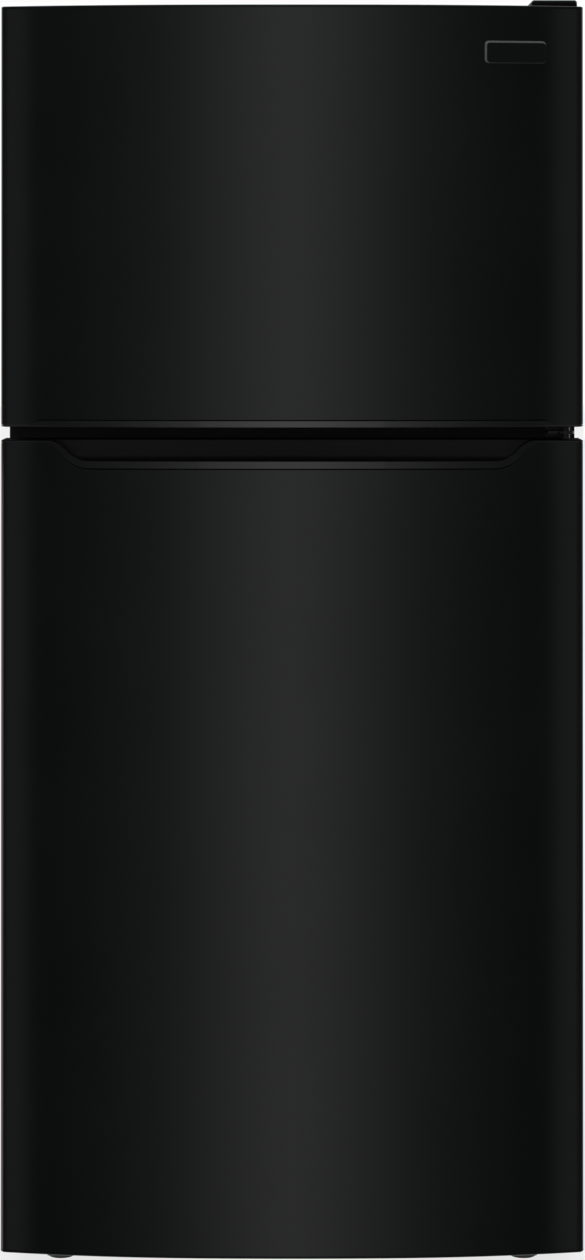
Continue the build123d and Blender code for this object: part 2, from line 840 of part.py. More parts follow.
with BuildPart() as mullion_rail:
    with BuildSketch(sideways(-flange_x)):
        with Locations((case_front, mullion_low)):
            Rectangle(mullion_depth, mullion_high - mullion_low, align=(Align.MIN, Align.MIN))
        with Locations((case_front + sheet, mullion_low + sheet)):
            Rectangle(mullion_depth, mullion_high - mullion_low - 2 * sheet, align=(Align.MIN, Align.MIN),
                      mode=Mode.SUBTRACT)
    extrude(amount=2 * flange_x)
write(mullion_rail, "mullion_rail")

# Base frame with its rails, front apron, machine tray, leg bosses, roller cheeks and axles
rail_out = half_case - sheet

with BuildPart() as base_frame:
    with BuildSketch(facing(apron_y)):
        for side in (-1, 1):
            with Locations((side * (rail_out - rail_width / 2), base_top - base_sheet / 2)):
                Rectangle(rail_width, base_sheet)
            with Locations((side * (rail_out - base_sheet / 2), base_top - rail_drop / 2)):
                Rectangle(base_sheet, rail_drop)
    extrude(amount=-(panel_back - sheet - seat - apron_y))
    with BuildSketch(facing(apron_y)):
        with Locations((0, base_top - apron_drop / 2)):
            Rectangle(2 * rail_out, apron_drop)
    extrude(amount=-base_sheet)
    with BuildSketch(Plane.XY.offset(base_top)):
        with Locations((0, apron_y)):
            Rectangle(2 * rail_out, 2 * (leg_y - apron_y), align=(Align.CENTER, Align.MIN))
        with Locations((0, machine_front)):
            Rectangle(2 * rail_out, panel_back - sheet - seat - machine_front,
                      align=(Align.CENTER, Align.MIN))
        with Locations((-roller_x, roller_y), (roller_x, roller_y)):
            Rectangle(roller_width + 2 * run_gap, 2 * (roller_radius + run_gap), mode=Mode.SUBTRACT)
    extrude(amount=-base_sheet)
    with BuildSketch(Plane.XY.offset(base_top)):
        with Locations((-leg_x, leg_y), (leg_x, leg_y)):
            Circle(leg_boss)
    extrude(amount=-leg_boss_drop)
    with Locations(Location((-leg_x, leg_y, base_top - leg_boss_drop), (180, 0, 0)),
                   Location((leg_x, leg_y, base_top - leg_boss_drop), (180, 0, 0))):
        Hole(leg_stem + pin_play, depth=leg_boss_drop - base_sheet)
    for side in (-1, 1):
        for face in (-1, 1):
            inner = side * roller_x + face * (roller_width / 2 + run_gap)
            with BuildSketch(sideways(inner)):
                with Locations((roller_y, base_top)):
                    Rectangle(roller_radius, base_top - roller_radius, align=(Align.CENTER, Align.MAX))
                with Locations((roller_y, roller_radius)):
                    Circle(roller_radius / 2)
            extrude(amount=face * cheek)
        with BuildSketch(sideways(side * roller_x - roller_width / 2 - run_gap)):
            with Locations((roller_y, roller_radius)):
                Circle(axle_radius)
        extrude(amount=roller_width + 2 * run_gap)
write(base_frame, "base_frame")

for side, name in ((-1, "left"), (1, "right")):
    with BuildPart() as rear_roller:
        with BuildSketch(sideways(side * roller_x - roller_width / 2)):
            with Locations((roller_y, roller_radius)):
                Circle(roller_radius)
                Circle(axle_radius + pin_play, mode=Mode.SUBTRACT)
        extrude(amount=roller_width)
        tread_edges = rear_roller.edges().filter_by(GeomType.CIRCLE).sort_by(SortBy.RADIUS)[-2:]
        fillet(tread_edges, radius=roller_edge)
    write(rear_roller, f"rear_roller_{name}")

    with BuildPart() as leveling_leg:
        with BuildSketch(Plane.XY):
            with Locations((side * leg_x, leg_y)):
                Circle(leg_radius)
        extrude(amount=leg_foot)
        chamfer(leveling_leg.edges().group_by(Axis.Z)[-1], length=leg_foot / 2)
        with BuildSketch(Plane.XY.offset(leg_foot)):
            with Locations((side * leg_x, leg_y)):
                Circle(leg_stem)
        extrude(amount=base_top - base_sheet - run_gap - leg_foot)
    write(leveling_leg, f"leveling_leg_{name}")

with BuildPart() as toe_grille:
    with BuildSketch(facing(apron_y - seat)) as grille_plan:
        with Locations((0, (grille_low + grille_high) / 2)):
            Rectangle(2 * grille_half, grille_high - grille_low)
            with GridLocations(2 * grille_half / grille_slots, 1, grille_slots, 1):
                SlotOverall(grille_slot_width, grille_slot_height / 2, rotation=90, mode=Mode.SUBTRACT)
    extrude(amount=grille_thick)
    fillet(toe_grille.faces().sort_by(Axis.Y)[0].outer_wire().edges(), radius=grille_thick / 3)
write(toe_grille, "toe_grille")

# Hinges
with BuildPart() as top_hinge:
    with BuildSketch(Plane.XY.offset(case_top)):
        with Locations((hinge_x, hinge_y)):
            Circle(hinge_arm)
            Rectangle(2 * hinge_arm, case_front - hinge_y + hinge_arm, align=(Align.CENTER, Align.MIN))
        with Locations((hinge_x + hinge_arm, case_front + hinge_arm)):
            Rectangle(hinge_tail_width, hinge_tail - hinge_arm, align=(Align.MAX, Align.MIN))
    extrude(amount=hinge_plate)
    with BuildSketch(Plane.XY.offset(case_top)):
        with Locations((hinge_x, hinge_y)):
            Circle(pin_radius)
    extrude(amount=-(top_reveal + pin_reach))
write(top_hinge, "top_hinge")

with BuildPart() as top_hinge_cover:
    cover_right = hinge_x + hinge_arm + hinge_cover_wall + run_gap
    cover_front = hinge_y - hinge_arm - hinge_cover_wall - run_gap
    cover_back = case_front + hinge_tail + hinge_cover_wall + run_gap
    with BuildSketch(Plane.XY.offset(case_top + seat)) as cover_plan:
        with Locations((cover_right, cover_front)):
            Rectangle(hinge_cover_width, cover_back - cover_front, align=(Align.MAX, Align.MIN))
        fillet(cover_plan.vertices(), radius=hinge_cover_edge)
    extrude(amount=hinge_cover_height - seat)
    fillet(top_hinge_cover.faces().sort_by(Axis.Z)[-1].edges(), radius=hinge_cover_round)
    offset(amount=-hinge_cover_wall, openings=top_hinge_cover.faces().sort_by(Axis.Z)[0])
write(top_hinge_cover, "top_hinge_cover")

with BuildPart() as center_hinge:
    leaf_low = fresh_top + (door_gap - hinge_plate) / 2
    with BuildSketch(Plane.XY.offset(leaf_low)):
        with Locations((hinge_x, hinge_y)):
            Circle(hinge_arm)
        with Locations((hinge_x + hinge_arm, hinge_y)):
            Rectangle(hinge_leaf + hinge_arm, case_front - hinge_y, align=(Align.MAX, Align.MIN))
    extrude(amount=hinge_plate)
    with BuildSketch(facing(case_front)):
        with Locations((hinge_x + hinge_arm, fresh_top + door_gap / 2)):
            Rectangle(hinge_leaf + hinge_arm, door_gap - 2 * hinge_tab_gap, align=(Align.MAX, Align.CENTER))
    extrude(amount=hinge_tab)
    with BuildSketch(Plane.XY.offset(fresh_top - pin_reach)):
        with Locations((hinge_x, hinge_y)):
            Circle(pin_radius)
    extrude(amount=door_gap + 2 * pin_reach)
write(center_hinge, "center_hinge")

with BuildPart() as bottom_hinge:
    with BuildSketch(Plane.XY.offset(fresh_bottom - hinge_drop)):
        with Locations((hinge_x, hinge_y)):
            Circle(hinge_arm)
        with Locations((hinge_x + hinge_arm, hinge_y)):
            Rectangle(hinge_leaf + hinge_arm, apron_y - seat - hinge_y, align=(Align.MAX, Align.MIN))
    extrude(amount=-hinge_plate)
    with BuildSketch(facing(apron_y - seat)):
        with Locations((hinge_x + hinge_arm, fresh_bottom - hinge_drop)):
            Rectangle(hinge_leaf + hinge_arm, apron_drop - hinge_drop, align=(Align.MAX, Align.MAX))
    extrude(amount=hinge_plate)
    with BuildSketch(Plane.XY.offset(fresh_bottom - hinge_drop)):
        with Locations((hinge_x, hinge_y)):
            Circle(pin_radius)
    extrude(amount=hinge_drop + pin_reach)
write(bottom_hinge, "bottom_hinge")


def fan_wheel(plane, radius, tip_chord, bore):
    """Fan wheel on the plane's normal: a hub with twisted blades lofted from root to tip."""
    middle = plane.origin + plane.z_dir * (hub_length / 2)
    with BuildPart() as wheel:
        with BuildSketch(plane):
            Circle(hub_radius)
            Circle(bore, mode=Mode.SUBTRACT)
        extrude(amount=hub_length)
        for blade in range(blade_count):
            turn = radians(360 / blade_count * blade)
            radial = plane.x_dir * cos(turn) + plane.y_dir * sin(turn)
            along = plane.y_dir * cos(turn) - plane.x_dir * sin(turn)
            for reach, pitch, chord in ((hub_radius - run_gap, root_pitch, hub_length),
                                        (radius, tip_pitch, tip_chord)):
                lean = along * cos(radians(pitch)) + plane.z_dir * sin(radians(pitch))
                with BuildSketch(Plane(origin=middle + radial * reach, x_dir=lean, z_dir=radial)):
                    Rectangle(chord, blade_thick)
            loft()
    return wheel


# Freezer back wall and what lies behind it
evap_y = (evaporator_y + inner_back) / 2
evap_z = freezer_floor + evap_low
evap_fan_z = freezer_ceiling - fan_drop
evap_fan_y = evaporator_y + fan_gap

with BuildPart() as evaporator_cover:
    with BuildSketch(facing(evaporator_y)):
        freezer_face(-seat)
        with Locations((0, evap_fan_z)):
            with PolarLocations((hub_radius + evap_fan_radius) / 2, grille_spokes):
                SlotOverall(evap_fan_radius - hub_radius, vent_width, mode=Mode.SUBTRACT)
        with Locations((0, freezer_floor + evap_low / 2)):
            with GridLocations(vent_pitch, 1, vent_count, 1):
                SlotOverall(evap_low / 2, vent_width, rotation=90, mode=Mode.SUBTRACT)
    extrude(amount=cover_thick)
write(evaporator_cover, "evaporator_cover")

with BuildPart() as evaporator_coil:
    with BuildLine() as evap_path:
        for run in range(evap_runs):
            run_z = evap_z + run * evap_pitch
            end_x = evap_half if run % 2 == 0 else -evap_half
            Line((-end_x, evap_y, run_z), (end_x, evap_y, run_z))
            if run < evap_runs - 1:
                bulge = end_x + evap_pitch / 2 * (1 if end_x > 0 else -1)
                ThreePointArc((end_x, evap_y, run_z), (bulge, evap_y, run_z + evap_pitch / 2),
                              (end_x, evap_y, run_z + evap_pitch))
    with BuildSketch(sideways(-evap_half)):
        with Locations((evap_y, evap_z)):
            Circle(tube_radius)
    sweep()
    for plate_x in (-evap_half + evap_pitch / 2, evap_half - evap_pitch / 2):
        with BuildSketch(sideways(plate_x)):
            with Locations((evap_y, evap_z - evap_pitch / 2)):
                Rectangle(evaporator_room - 2 * seat, evap_runs * evap_pitch,
                          align=(Align.CENTER, Align.MIN))
        extrude(amount=tube_plate)
write(evaporator_coil, "evaporator_coil")

with BuildPart() as defrost_heater:
    heater_z = evap_z - heater_drop - heater_radius
    with BuildSketch(sideways(-evap_half)):
        with Locations((evap_y, heater_z)):
            Circle(heater_radius)
    extrude(amount=2 * evap_half)
    for strap_x in (-evap_half + evap_pitch / 2, evap_half - evap_pitch / 2):
        with BuildSketch(sideways(strap_x)):
            with Locations((evap_y, heater_z)):
                Rectangle(2 * heater_radius, evap_z - evap_pitch / 2 - seat - heater_z,
                          align=(Align.CENTER, Align.MIN))
        extrude(amount=tube_plate)
write(defrost_heater, "defrost_heater")

evaporator_fan = fan_wheel(Plane(origin=(0, evap_fan_y, evap_fan_z), x_dir=(1, 0, 0), z_dir=(0, 1, 0)),
                           evap_fan_radius, evap_fan_chord, shaft_radius + pin_play)
write(evaporator_fan, "evaporator_fan")

with BuildPart() as evaporator_fan_motor:
    with BuildSketch(facing(inner_back - seat)):
        with Locations((0, evap_fan_z)):
            Circle(motor_radius)
    extrude(amount=motor_length)
    fillet(evaporator_fan_motor.faces().sort_by(Axis.Y)[0].edges(), radius=motor_edge)
    with BuildSketch(facing(inner_back - seat)):
        with Locations((0, evap_fan_z)):
            SlotOverall(bracket_length, bracket_width)
    extrude(amount=bracket_thick)
    with BuildSketch(facing(inner_back - seat)):
        with Locations((0, evap_fan_z)):
            Circle(shaft_radius)
    extrude(amount=inner_back - seat - evap_fan_y)
write(evaporator_fan_motor, "evaporator_fan_motor")

with BuildPart() as freezer_shelf:
    shelf_back = evaporator_y - cover_thick - shelf_back_gap
    bar_half = half_open - shelf_side_gap
    rod_z = freezer_shelf_z + 2 * wire_bar - wire_weld
    with BuildSketch(sideways(-bar_half)):
        for bar_y in (shelf_front + wire_bar, (shelf_front + shelf_back) / 2, shelf_back - wire_bar):
            with Locations((bar_y, freezer_shelf_z + wire_bar)):
                Circle(wire_bar)
    extrude(amount=2 * bar_half)
    with BuildSketch(facing(shelf_front + wire_bar - wire_overhang)):
        with Locations((0, rod_z)):
            with GridLocations(2 * (bar_half - ledge_width) / (wire_count - 1), 1, wire_count, 1):
                Circle(wire_rod)
    extrude(amount=-(shelf_back - shelf_front - 2 * (wire_bar - wire_overhang)))
write(freezer_shelf, "freezer_shelf")

# Fresh-food shelves; the lowest is the crisper cover, with a slot for each humidity slider
pane_half = half_open - shelf_side_gap - shelf_bar + glass_rest
shelf_rear = inner_back - shelf_back_gap
pane_front = shelf_front + shelf_bar - glass_rest
pane_rear = shelf_rear - shelf_bar + glass_rest
slider_z = fresh_floor + crisper_cover_level + slider_slot_height
slider_x = half_open / 2

with BuildPart() as shelf_frames:
    for shelf_z in shelf_heights:
        with BuildSketch(Plane.XY.offset(shelf_z)):
            with Locations((0, shelf_front)):
                Rectangle(2 * (half_open - shelf_side_gap), shelf_rear - shelf_front,
                          align=(Align.CENTER, Align.MIN))
            with Locations((0, pane_front + glass_rest)):
                Rectangle(2 * (pane_half - glass_rest), pane_rear - pane_front - 2 * glass_rest,
                          align=(Align.CENTER, Align.MIN), mode=Mode.SUBTRACT)
        extrude(amount=shelf_height)
        with BuildSketch(Plane.XY.offset(shelf_z + shelf_height)):
            with Locations((0, pane_front - seat)):
                Rectangle(2 * (pane_half + seat), pane_rear - pane_front + 2 * seat,
                          align=(Align.CENTER, Align.MIN))
        extrude(amount=-(glass_thick + seat), mode=Mode.SUBTRACT)
    with BuildSketch(facing(shelf_front)):
        with Locations((-slider_x, slider_z), (slider_x, slider_z)):
            Rectangle(slider_slot + slider_stem, slider_slot_height)
    extrude(amount=-(shelf_bar - glass_rest - sheet), mode=Mode.SUBTRACT)
write(shelf_frames, "shelf_frames")

with BuildPart() as shelf_glass:
    for shelf_z in shelf_heights:
        with BuildSketch(Plane.XY.offset(shelf_z + shelf_height)):
            with Locations((0, pane_front)):
                Rectangle(2 * pane_half, pane_rear - pane_front, align=(Align.CENTER, Align.MIN))
        extrude(amount=-glass_thick)
write(shelf_glass, "shelf_glass")

# Crisper drawers and humidity sliders, left and right
crisper_half = (half_open - 2 * crisper_gap) / 2
crisper_front = shelf_front + run_gap
crisper_rear = hump_front - crisper_back_gap
crisper_y = (crisper_front + crisper_rear) / 2
crisper_length = crisper_rear - crisper_front
crisper_low = fresh_floor + seat + skid_height

for side, name in ((-1, "left"), (1, "right")):
    crisper_x = side * (crisper_half + crisper_gap / 2)
    with BuildPart() as crisper:
        add(tapered_tray((crisper_x, crisper_y), 2 * crisper_half, crisper_length,
                         crisper_low + crisper_height, crisper_height, crisper_corner, crisper_draft,
                         crisper_wall))
        with BuildSketch(Plane.XY.offset(crisper_low + crisper_wall / 2)):
            with Locations((crisper_x, crisper_y)):
                with GridLocations(skid_spacing, 1, 2, 1):
                    Rectangle(skid_width, crisper_length - 2 * skid_inset)
        extrude(amount=-(skid_height + crisper_wall / 2))
        with BuildSketch(facing(crisper_front + crisper_wall / 2)):
            with Locations((crisper_x, crisper_low + crisper_height)):
                Rectangle(pull_width, pull_height, align=(Align.CENTER, Align.MAX))
            with Locations((crisper_x, crisper_low + crisper_height - crisper_wall)):
                Rectangle(pull_width - 2 * crisper_wall, pull_height, align=(Align.CENTER, Align.MAX),
                          mode=Mode.SUBTRACT)
        extrude(amount=pull_reach + crisper_wall / 2)
    write(crisper, f"crisper_{name}")

    with BuildPart() as humidity_slider:
        with BuildSketch(facing(shelf_front - seat)):
            with Locations((side * slider_x, slider_z)):
                SlotOverall(slider_head, slider_head_height)
        extrude(amount=slider_thick)
        chamfer(humidity_slider.faces().sort_by(Axis.Y)[0].edges(), length=slider_edge)
        with BuildSketch(facing(shelf_front - seat)):
            with Locations((side * slider_x, slider_z)):
                Rectangle(slider_stem, slider_slot_height - 2 * seat)
        extrude(amount=-(shelf_bar - glass_rest) / 2)
    write(humidity_slider, f"humidity_slider_{name}")

# Control housing on the fresh-food ceiling, with its knobs, lamp and lens
control_front = shelf_front - control_lead
control_back = control_front + control_length
control_top = fresh_ceiling - seat
control_low = fresh_ceiling - control_drop
knob_z = fresh_ceiling - control_drop / 2
lens_y = (control_front + control_back) / 2
lamp_hold = -lens_width / 2 - control_wall
lamp_z = (control_top + control_low + control_wall) / 2

with BuildPart() as control_housing:
    with BuildSketch(sideways(-control_half)):
        with BuildLine():
            Polyline((control_front, control_top), (control_front, control_low + control_slope / 2),
                     (control_front + control_slope, control_low),
                     (control_back - control_slope, control_low),
                     (control_back, control_low + control_slope), (control_back, control_top), close=True)
        make_face()
    extrude(amount=2 * control_half)
    offset(amount=-control_wall, openings=control_housing.faces().sort_by(Axis.Z)[-1])
    with BuildSketch(Plane.XY.offset(control_low)):
        with Locations((0, lens_y)):
            Rectangle(lens_width, lens_length)
    extrude(amount=control_wall, mode=Mode.SUBTRACT)
    with BuildSketch(sideways(lamp_hold)):
        with Locations((lens_y, control_low)):
            Rectangle(lens_length, control_drop - seat, align=(Align.CENTER, Align.MIN))
        with Locations((lens_y, lamp_z)):
            Circle(lamp_base + seat, mode=Mode.SUBTRACT)
    extrude(amount=-control_wall)
    with BuildSketch(facing(control_front)):
        with Locations((-knob_x, knob_z), (knob_x, knob_z)):
            Circle(knob_stem + pin_play)
    extrude(amount=-2 * control_wall, mode=Mode.SUBTRACT)
write(control_housing, "control_housing")

for side, name in ((-1, "fridge_temp_knob"), (1, "freezer_temp_knob")):
    with BuildPart() as temp_knob:
        with BuildSketch(facing(control_front - seat)):
            with Locations((side * knob_x, knob_z)):
                Circle(knob_radius)
        extrude(amount=knob_length / 2)
        with BuildSketch(facing(control_front - seat)):
            with Locations((side * knob_x, knob_z)):
                SlotOverall(2 * (knob_radius - knob_edge), knob_grip, rotation=90)
        extrude(amount=knob_length)
        with BuildSketch(facing(control_front - seat)):
            with Locations((side * knob_x, knob_z)):
                Circle(knob_stem)
        extrude(amount=-2 * control_wall)
    write(temp_knob, name)

with BuildPart() as light_bulb:
    with BuildSketch(sideways(lamp_hold - lamp_base_length / 2)):
        with Locations((lens_y, lamp_z)):
            Circle(lamp_base)
    extrude(amount=lamp_base_length)
    with Locations((lamp_hold + lamp_base_length / 2 + lamp_neck, lens_y, lamp_z)):
        Sphere(lamp_radius)
write(light_bulb, "light_bulb")

with BuildPart() as light_lens:
    with BuildSketch(Plane.XY.offset(control_low)):
        with Locations((0, lens_y)):
            Rectangle(lens_width - 2 * seat, lens_length - 2 * seat)
    extrude(amount=control_wall)
write(light_lens, "light_lens")

# Door light switch: a body under the ceiling and a plunger that the door holds in
switch_z = fresh_ceiling - switch_drop
switch_front = case_front + switch_setback

with BuildPart() as light_switch:
    with BuildSketch(facing(switch_front)):
        with Locations((switch_x, fresh_ceiling - seat)):
            Rectangle(switch_width, 2 * (switch_drop - seat), align=(Align.CENTER, Align.MAX))
        with Locations((switch_x, switch_z)):
            Circle(plunger_radius + pin_play, mode=Mode.SUBTRACT)
    extrude(amount=-switch_length)
    fillet(light_switch.edges().filter_by(Axis.Y).group_by(Axis.Z)[0], radius=switch_edge)
write(light_switch, "light_switch")

with BuildPart() as light_switch_plunger:
    with BuildSketch(facing(door_back + seat)):
        with Locations((switch_x, switch_z)):
            Circle(plunger_radius)
    extrude(amount=-(switch_front - door_back - seat + plunger_grip))
    fillet(light_switch_plunger.faces().sort_by(Axis.Y)[0].edges(), radius=plunger_radius / 2)
write(light_switch_plunger, "light_switch_plunger")

# Machine compartment behind the louvred cover
machine_y = (machine_front + case_back) / 2
foot_z = base_top + grommet_height
compressor_z = foot_z + foot_thick
compressor_top = compressor_z + compressor_height
grommet_span_x = foot_length - 2 * grommet_inset
grommet_span_y = foot_width - 2 * grommet_inset

with BuildPart() as compressor:
    with BuildSketch(Plane.XY.offset(foot_z)):
        with Locations((compressor_x, machine_y)):
            RectangleRounded(foot_length, foot_width, foot_corner)
            with GridLocations(grommet_span_x, grommet_span_y, 2, 2):
                Circle(grommet_bore, mode=Mode.SUBTRACT)
    extrude(amount=foot_thick)
    with BuildSketch(facing(machine_y)):
        with BuildLine():
            shell_low = compressor_z - foot_thick / 2
            Polyline((compressor_x, compressor_top), (compressor_x, shell_low),
                     (compressor_x + compressor_radius - compressor_base, shell_low))
            TangentArc((compressor_x + compressor_radius - compressor_base, shell_low),
                       (compressor_x + compressor_radius, shell_low + compressor_base), tangent=(1, 0))
            Line((compressor_x + compressor_radius, shell_low + compressor_base),
                 (compressor_x + compressor_radius, compressor_top - compressor_dome))
            TangentArc((compressor_x + compressor_radius, compressor_top - compressor_dome),
                       (compressor_x + compressor_radius - compressor_dome, compressor_top), tangent=(0, 1))
            Line((compressor_x + compressor_radius - compressor_dome, compressor_top),
                 (compressor_x, compressor_top))
        make_face()
        with Locations((compressor_x, compressor_top - compressor_dome - weld_band)):
            Rectangle(compressor_radius + weld_proud, weld_band, align=(Align.MIN, Align.MAX))
    revolve(axis=Axis((compressor_x, machine_y, 0), (0, 0, 1)))
    with BuildSketch(sideways(compressor_x - compressor_radius - stub_length)):
        with Locations((machine_y, compressor_z + compressor_base),
                       (machine_y, compressor_top - compressor_dome)):
            Circle(tube_radius)
    extrude(amount=compressor_radius)
write(compressor, "compressor")

with BuildPart() as compressor_grommets:
    with BuildSketch(Plane.XY.offset(base_top)):
        with Locations((compressor_x, machine_y)):
            with GridLocations(grommet_span_x, grommet_span_y, 2, 2):
                Circle(grommet_radius)
                Circle(grommet_bore, mode=Mode.SUBTRACT)
    extrude(amount=grommet_height)
write(compressor_grommets, "compressor_grommets")

with BuildPart() as drain_pan:
    add(tapered_tray((compressor_x, machine_y), pan_length, pan_width, compressor_top + seat + pan_height,
                     pan_height, pan_corner, pan_draft, pan_wall))
write(drain_pan, "drain_pan")

with BuildPart() as condenser_coil:
    row_z = base_top + condenser_low
    row_top = row_z + (condenser_runs - 1) * condenser_pitch
    ends = (machine_y - condenser_half, machine_y + condenser_half)
    with BuildLine() as condenser_path:
        for row, row_x in enumerate((condenser_x - condenser_row / 2, condenser_x + condenser_row / 2)):
            climb = 1 if row == 0 else -1
            for run in range(condenser_runs):
                run_z = (row_z if row == 0 else row_top) + climb * run * condenser_pitch
                start, stop = ends if (run + row * condenser_runs) % 2 == 0 else ends[::-1]
                Line((row_x, start, run_z), (row_x, stop, run_z))
                if run < condenser_runs - 1:
                    bulge = stop + condenser_pitch / 2 * (1 if stop > machine_y else -1)
                    ThreePointArc((row_x, stop, run_z), (row_x, bulge, run_z + climb * condenser_pitch / 2),
                                  (row_x, stop, run_z + climb * condenser_pitch))
        last = ends[condenser_runs % 2]
        bulge = last + condenser_row / 2 * (1 if last > machine_y else -1)
        ThreePointArc((condenser_x - condenser_row / 2, last, row_top), (condenser_x, bulge, row_top),
                      (condenser_x + condenser_row / 2, last, row_top))
    with BuildSketch(Plane(origin=(condenser_x - condenser_row / 2, ends[0], row_z), x_dir=(1, 0, 0),
                           z_dir=(0, 1, 0))):
        Circle(tube_radius)
    sweep(path=condenser_path.wires()[0])
    for plate_y in (ends[0] + condenser_pitch, ends[1] - condenser_pitch):
        with BuildSketch(facing(plate_y)):
            with Locations((condenser_x, base_top + seat)):
                Rectangle(2 * condenser_row, row_top + condenser_pitch - base_top,
                          align=(Align.CENTER, Align.MIN))
        extrude(amount=tube_plate)
write(condenser_coil, "condenser_coil")

condenser_fan_level = base_top + condenser_fan_z
condenser_fan_plane = Plane(origin=(condenser_fan_x, machine_y, condenser_fan_level), x_dir=(0, 1, 0),
                            z_dir=(1, 0, 0))
condenser_fan = fan_wheel(condenser_fan_plane, condenser_fan_radius, condenser_fan_chord,
                          shaft_radius + pin_play)
write(condenser_fan, "condenser_fan")

with BuildPart() as condenser_fan_motor:
    motor_x = condenser_fan_x + hub_length + fan_gap
    with BuildSketch(sideways(motor_x)):
        with Locations((machine_y, condenser_fan_level)):
            Circle(motor_radius)
    extrude(amount=motor_length)
    fillet(condenser_fan_motor.faces().sort_by(Axis.X)[-1].edges(), radius=motor_edge)
    with BuildSketch(sideways(motor_x + motor_length / 2)):
        with Locations((machine_y, base_top)):
            Rectangle(bracket_width, condenser_fan_z, align=(Align.CENTER, Align.MIN))
    extrude(amount=bracket_thick)
    with BuildSketch(Plane.XY.offset(base_top)):
        with Locations((motor_x + motor_length / 2, machine_y)):
            Rectangle(bracket_length / 2, bracket_width)
    extrude(amount=base_sheet)
    with BuildSketch(sideways(condenser_fan_x)):
        with Locations((machine_y, condenser_fan_level)):
            Circle(shaft_radius)
    extrude(amount=motor_x - condenser_fan_x)
write(condenser_fan_motor, "condenser_fan_motor")

cover_slot_step = (case_width - 2 * cover_slot_margin - cover_slot_length) / (cover_slot_columns - 1)
inlet_x = inlet_inset - half_case

with BuildPart() as machine_cover:
    with BuildSketch(facing(panel_back)):
        with Locations((0, case_bottom)):
            Rectangle(2 * (inside_case - seat), machine_height - seat, align=(Align.CENTER, Align.MIN))
        with Locations((0, case_bottom + machine_height / 2)):
            with GridLocations(cover_slot_step, cover_slot_rise, cover_slot_columns, cover_slot_rows):
                SlotOverall(cover_slot_length, cover_slot_height, mode=Mode.SUBTRACT)
        with Locations((inlet_x, case_bottom + inlet_z)):
            Circle(inlet_radius - inlet_flange + seat, mode=Mode.SUBTRACT)
    extrude(amount=sheet)
write(machine_cover, "machine_cover")

with BuildPart() as power_inlet:
    with BuildSketch(facing(panel_back - sheet - seat)):
        with Locations((inlet_x, case_bottom + inlet_z)):
            Circle(inlet_radius)
            Circle(inlet_bore, mode=Mode.SUBTRACT)
    extrude(amount=inlet_length)
    with BuildSketch(facing(case_back)):
        with Locations((inlet_x, case_bottom + inlet_z)):
            Circle(inlet_radius - inlet_flange)
            Circle(inlet_bore, mode=Mode.SUBTRACT)
    extrude(amount=inlet_length)
write(power_inlet, "power_inlet")
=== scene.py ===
import math

import bmesh
import bpy
from mathutils import Matrix, Vector


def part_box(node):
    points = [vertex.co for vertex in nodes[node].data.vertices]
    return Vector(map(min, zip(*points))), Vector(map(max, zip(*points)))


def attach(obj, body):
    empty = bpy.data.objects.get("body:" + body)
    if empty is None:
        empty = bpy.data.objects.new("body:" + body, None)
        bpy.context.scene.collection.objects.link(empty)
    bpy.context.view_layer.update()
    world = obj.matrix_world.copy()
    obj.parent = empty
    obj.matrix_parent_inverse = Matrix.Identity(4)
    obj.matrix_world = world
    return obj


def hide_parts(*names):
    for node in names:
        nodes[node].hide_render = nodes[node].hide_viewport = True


# Looks of a top freezer refrigerator in black: paint, plastics, glass and metals for every CAD node,
# smooth bowed door skins, small fasteners and trim, and the studio round it. Metres, doors facing -Y.

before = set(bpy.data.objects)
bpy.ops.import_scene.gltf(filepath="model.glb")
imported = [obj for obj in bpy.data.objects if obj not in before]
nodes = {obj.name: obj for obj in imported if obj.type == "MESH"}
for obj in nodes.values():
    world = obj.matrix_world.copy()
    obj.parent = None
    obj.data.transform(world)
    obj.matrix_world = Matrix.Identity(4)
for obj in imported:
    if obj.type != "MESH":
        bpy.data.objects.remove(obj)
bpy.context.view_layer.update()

MM = 0.001
NOISE, CELLS = "ShaderNodeTexNoise", "ShaderNodeTexVoronoi"
WHITE = (1.0, 1.0, 1.0, 1.0)
FORWARD, BACKWARD, UPWARD = (0, -1, 0), (0, 1, 0), (0, 0, 1)


# Shader nodes

def math_node(tree, operation, *values):
    """Output of a Math node that works on sockets and plain numbers."""
    node = tree.nodes.new("ShaderNodeMath")
    node.operation = operation
    for socket, value in zip(node.inputs, values):
        if isinstance(value, float):
            socket.default_value = value
        else:
            tree.links.new(value, socket)
    return node.outputs["Value"]


def object_axes(tree):
    """Outputs X, Y and Z of the place in object space."""
    place = tree.nodes.new("ShaderNodeTexCoord")
    axes = tree.nodes.new("ShaderNodeSeparateXYZ")
    tree.links.new(place.outputs["Object"], axes.inputs["Vector"])
    return axes.outputs


def mix_surface(tree, share, first, second, output):
    """Mixes two shaders by a share, as the surface of the output node."""
    blend = tree.nodes.new("ShaderNodeMixShader")
    tree.links.new(share, blend.inputs["Fac"])
    tree.links.new(first, blend.inputs[1])
    tree.links.new(second, blend.inputs[2])
    tree.links.new(blend.outputs["Shader"], tree.nodes[output].inputs["Surface"])


def texture(tree, kind, scale, stretch=(1.0, 1.0, 1.0), **settings):
    """A texture node in object space, so that it stays in place on a piece that moves."""
    place = tree.nodes.new("ShaderNodeTexCoord")
    mapping = tree.nodes.new("ShaderNodeMapping")
    mapping.inputs["Scale"].default_value = stretch
    node = tree.nodes.new(kind)
    node.inputs["Scale"].default_value = scale
    for name, value in settings.items():
        node.inputs[name].default_value = value
    tree.links.new(place.outputs["Object"], mapping.inputs["Vector"])
    tree.links.new(mapping.outputs["Vector"], node.inputs["Vector"])
    return node


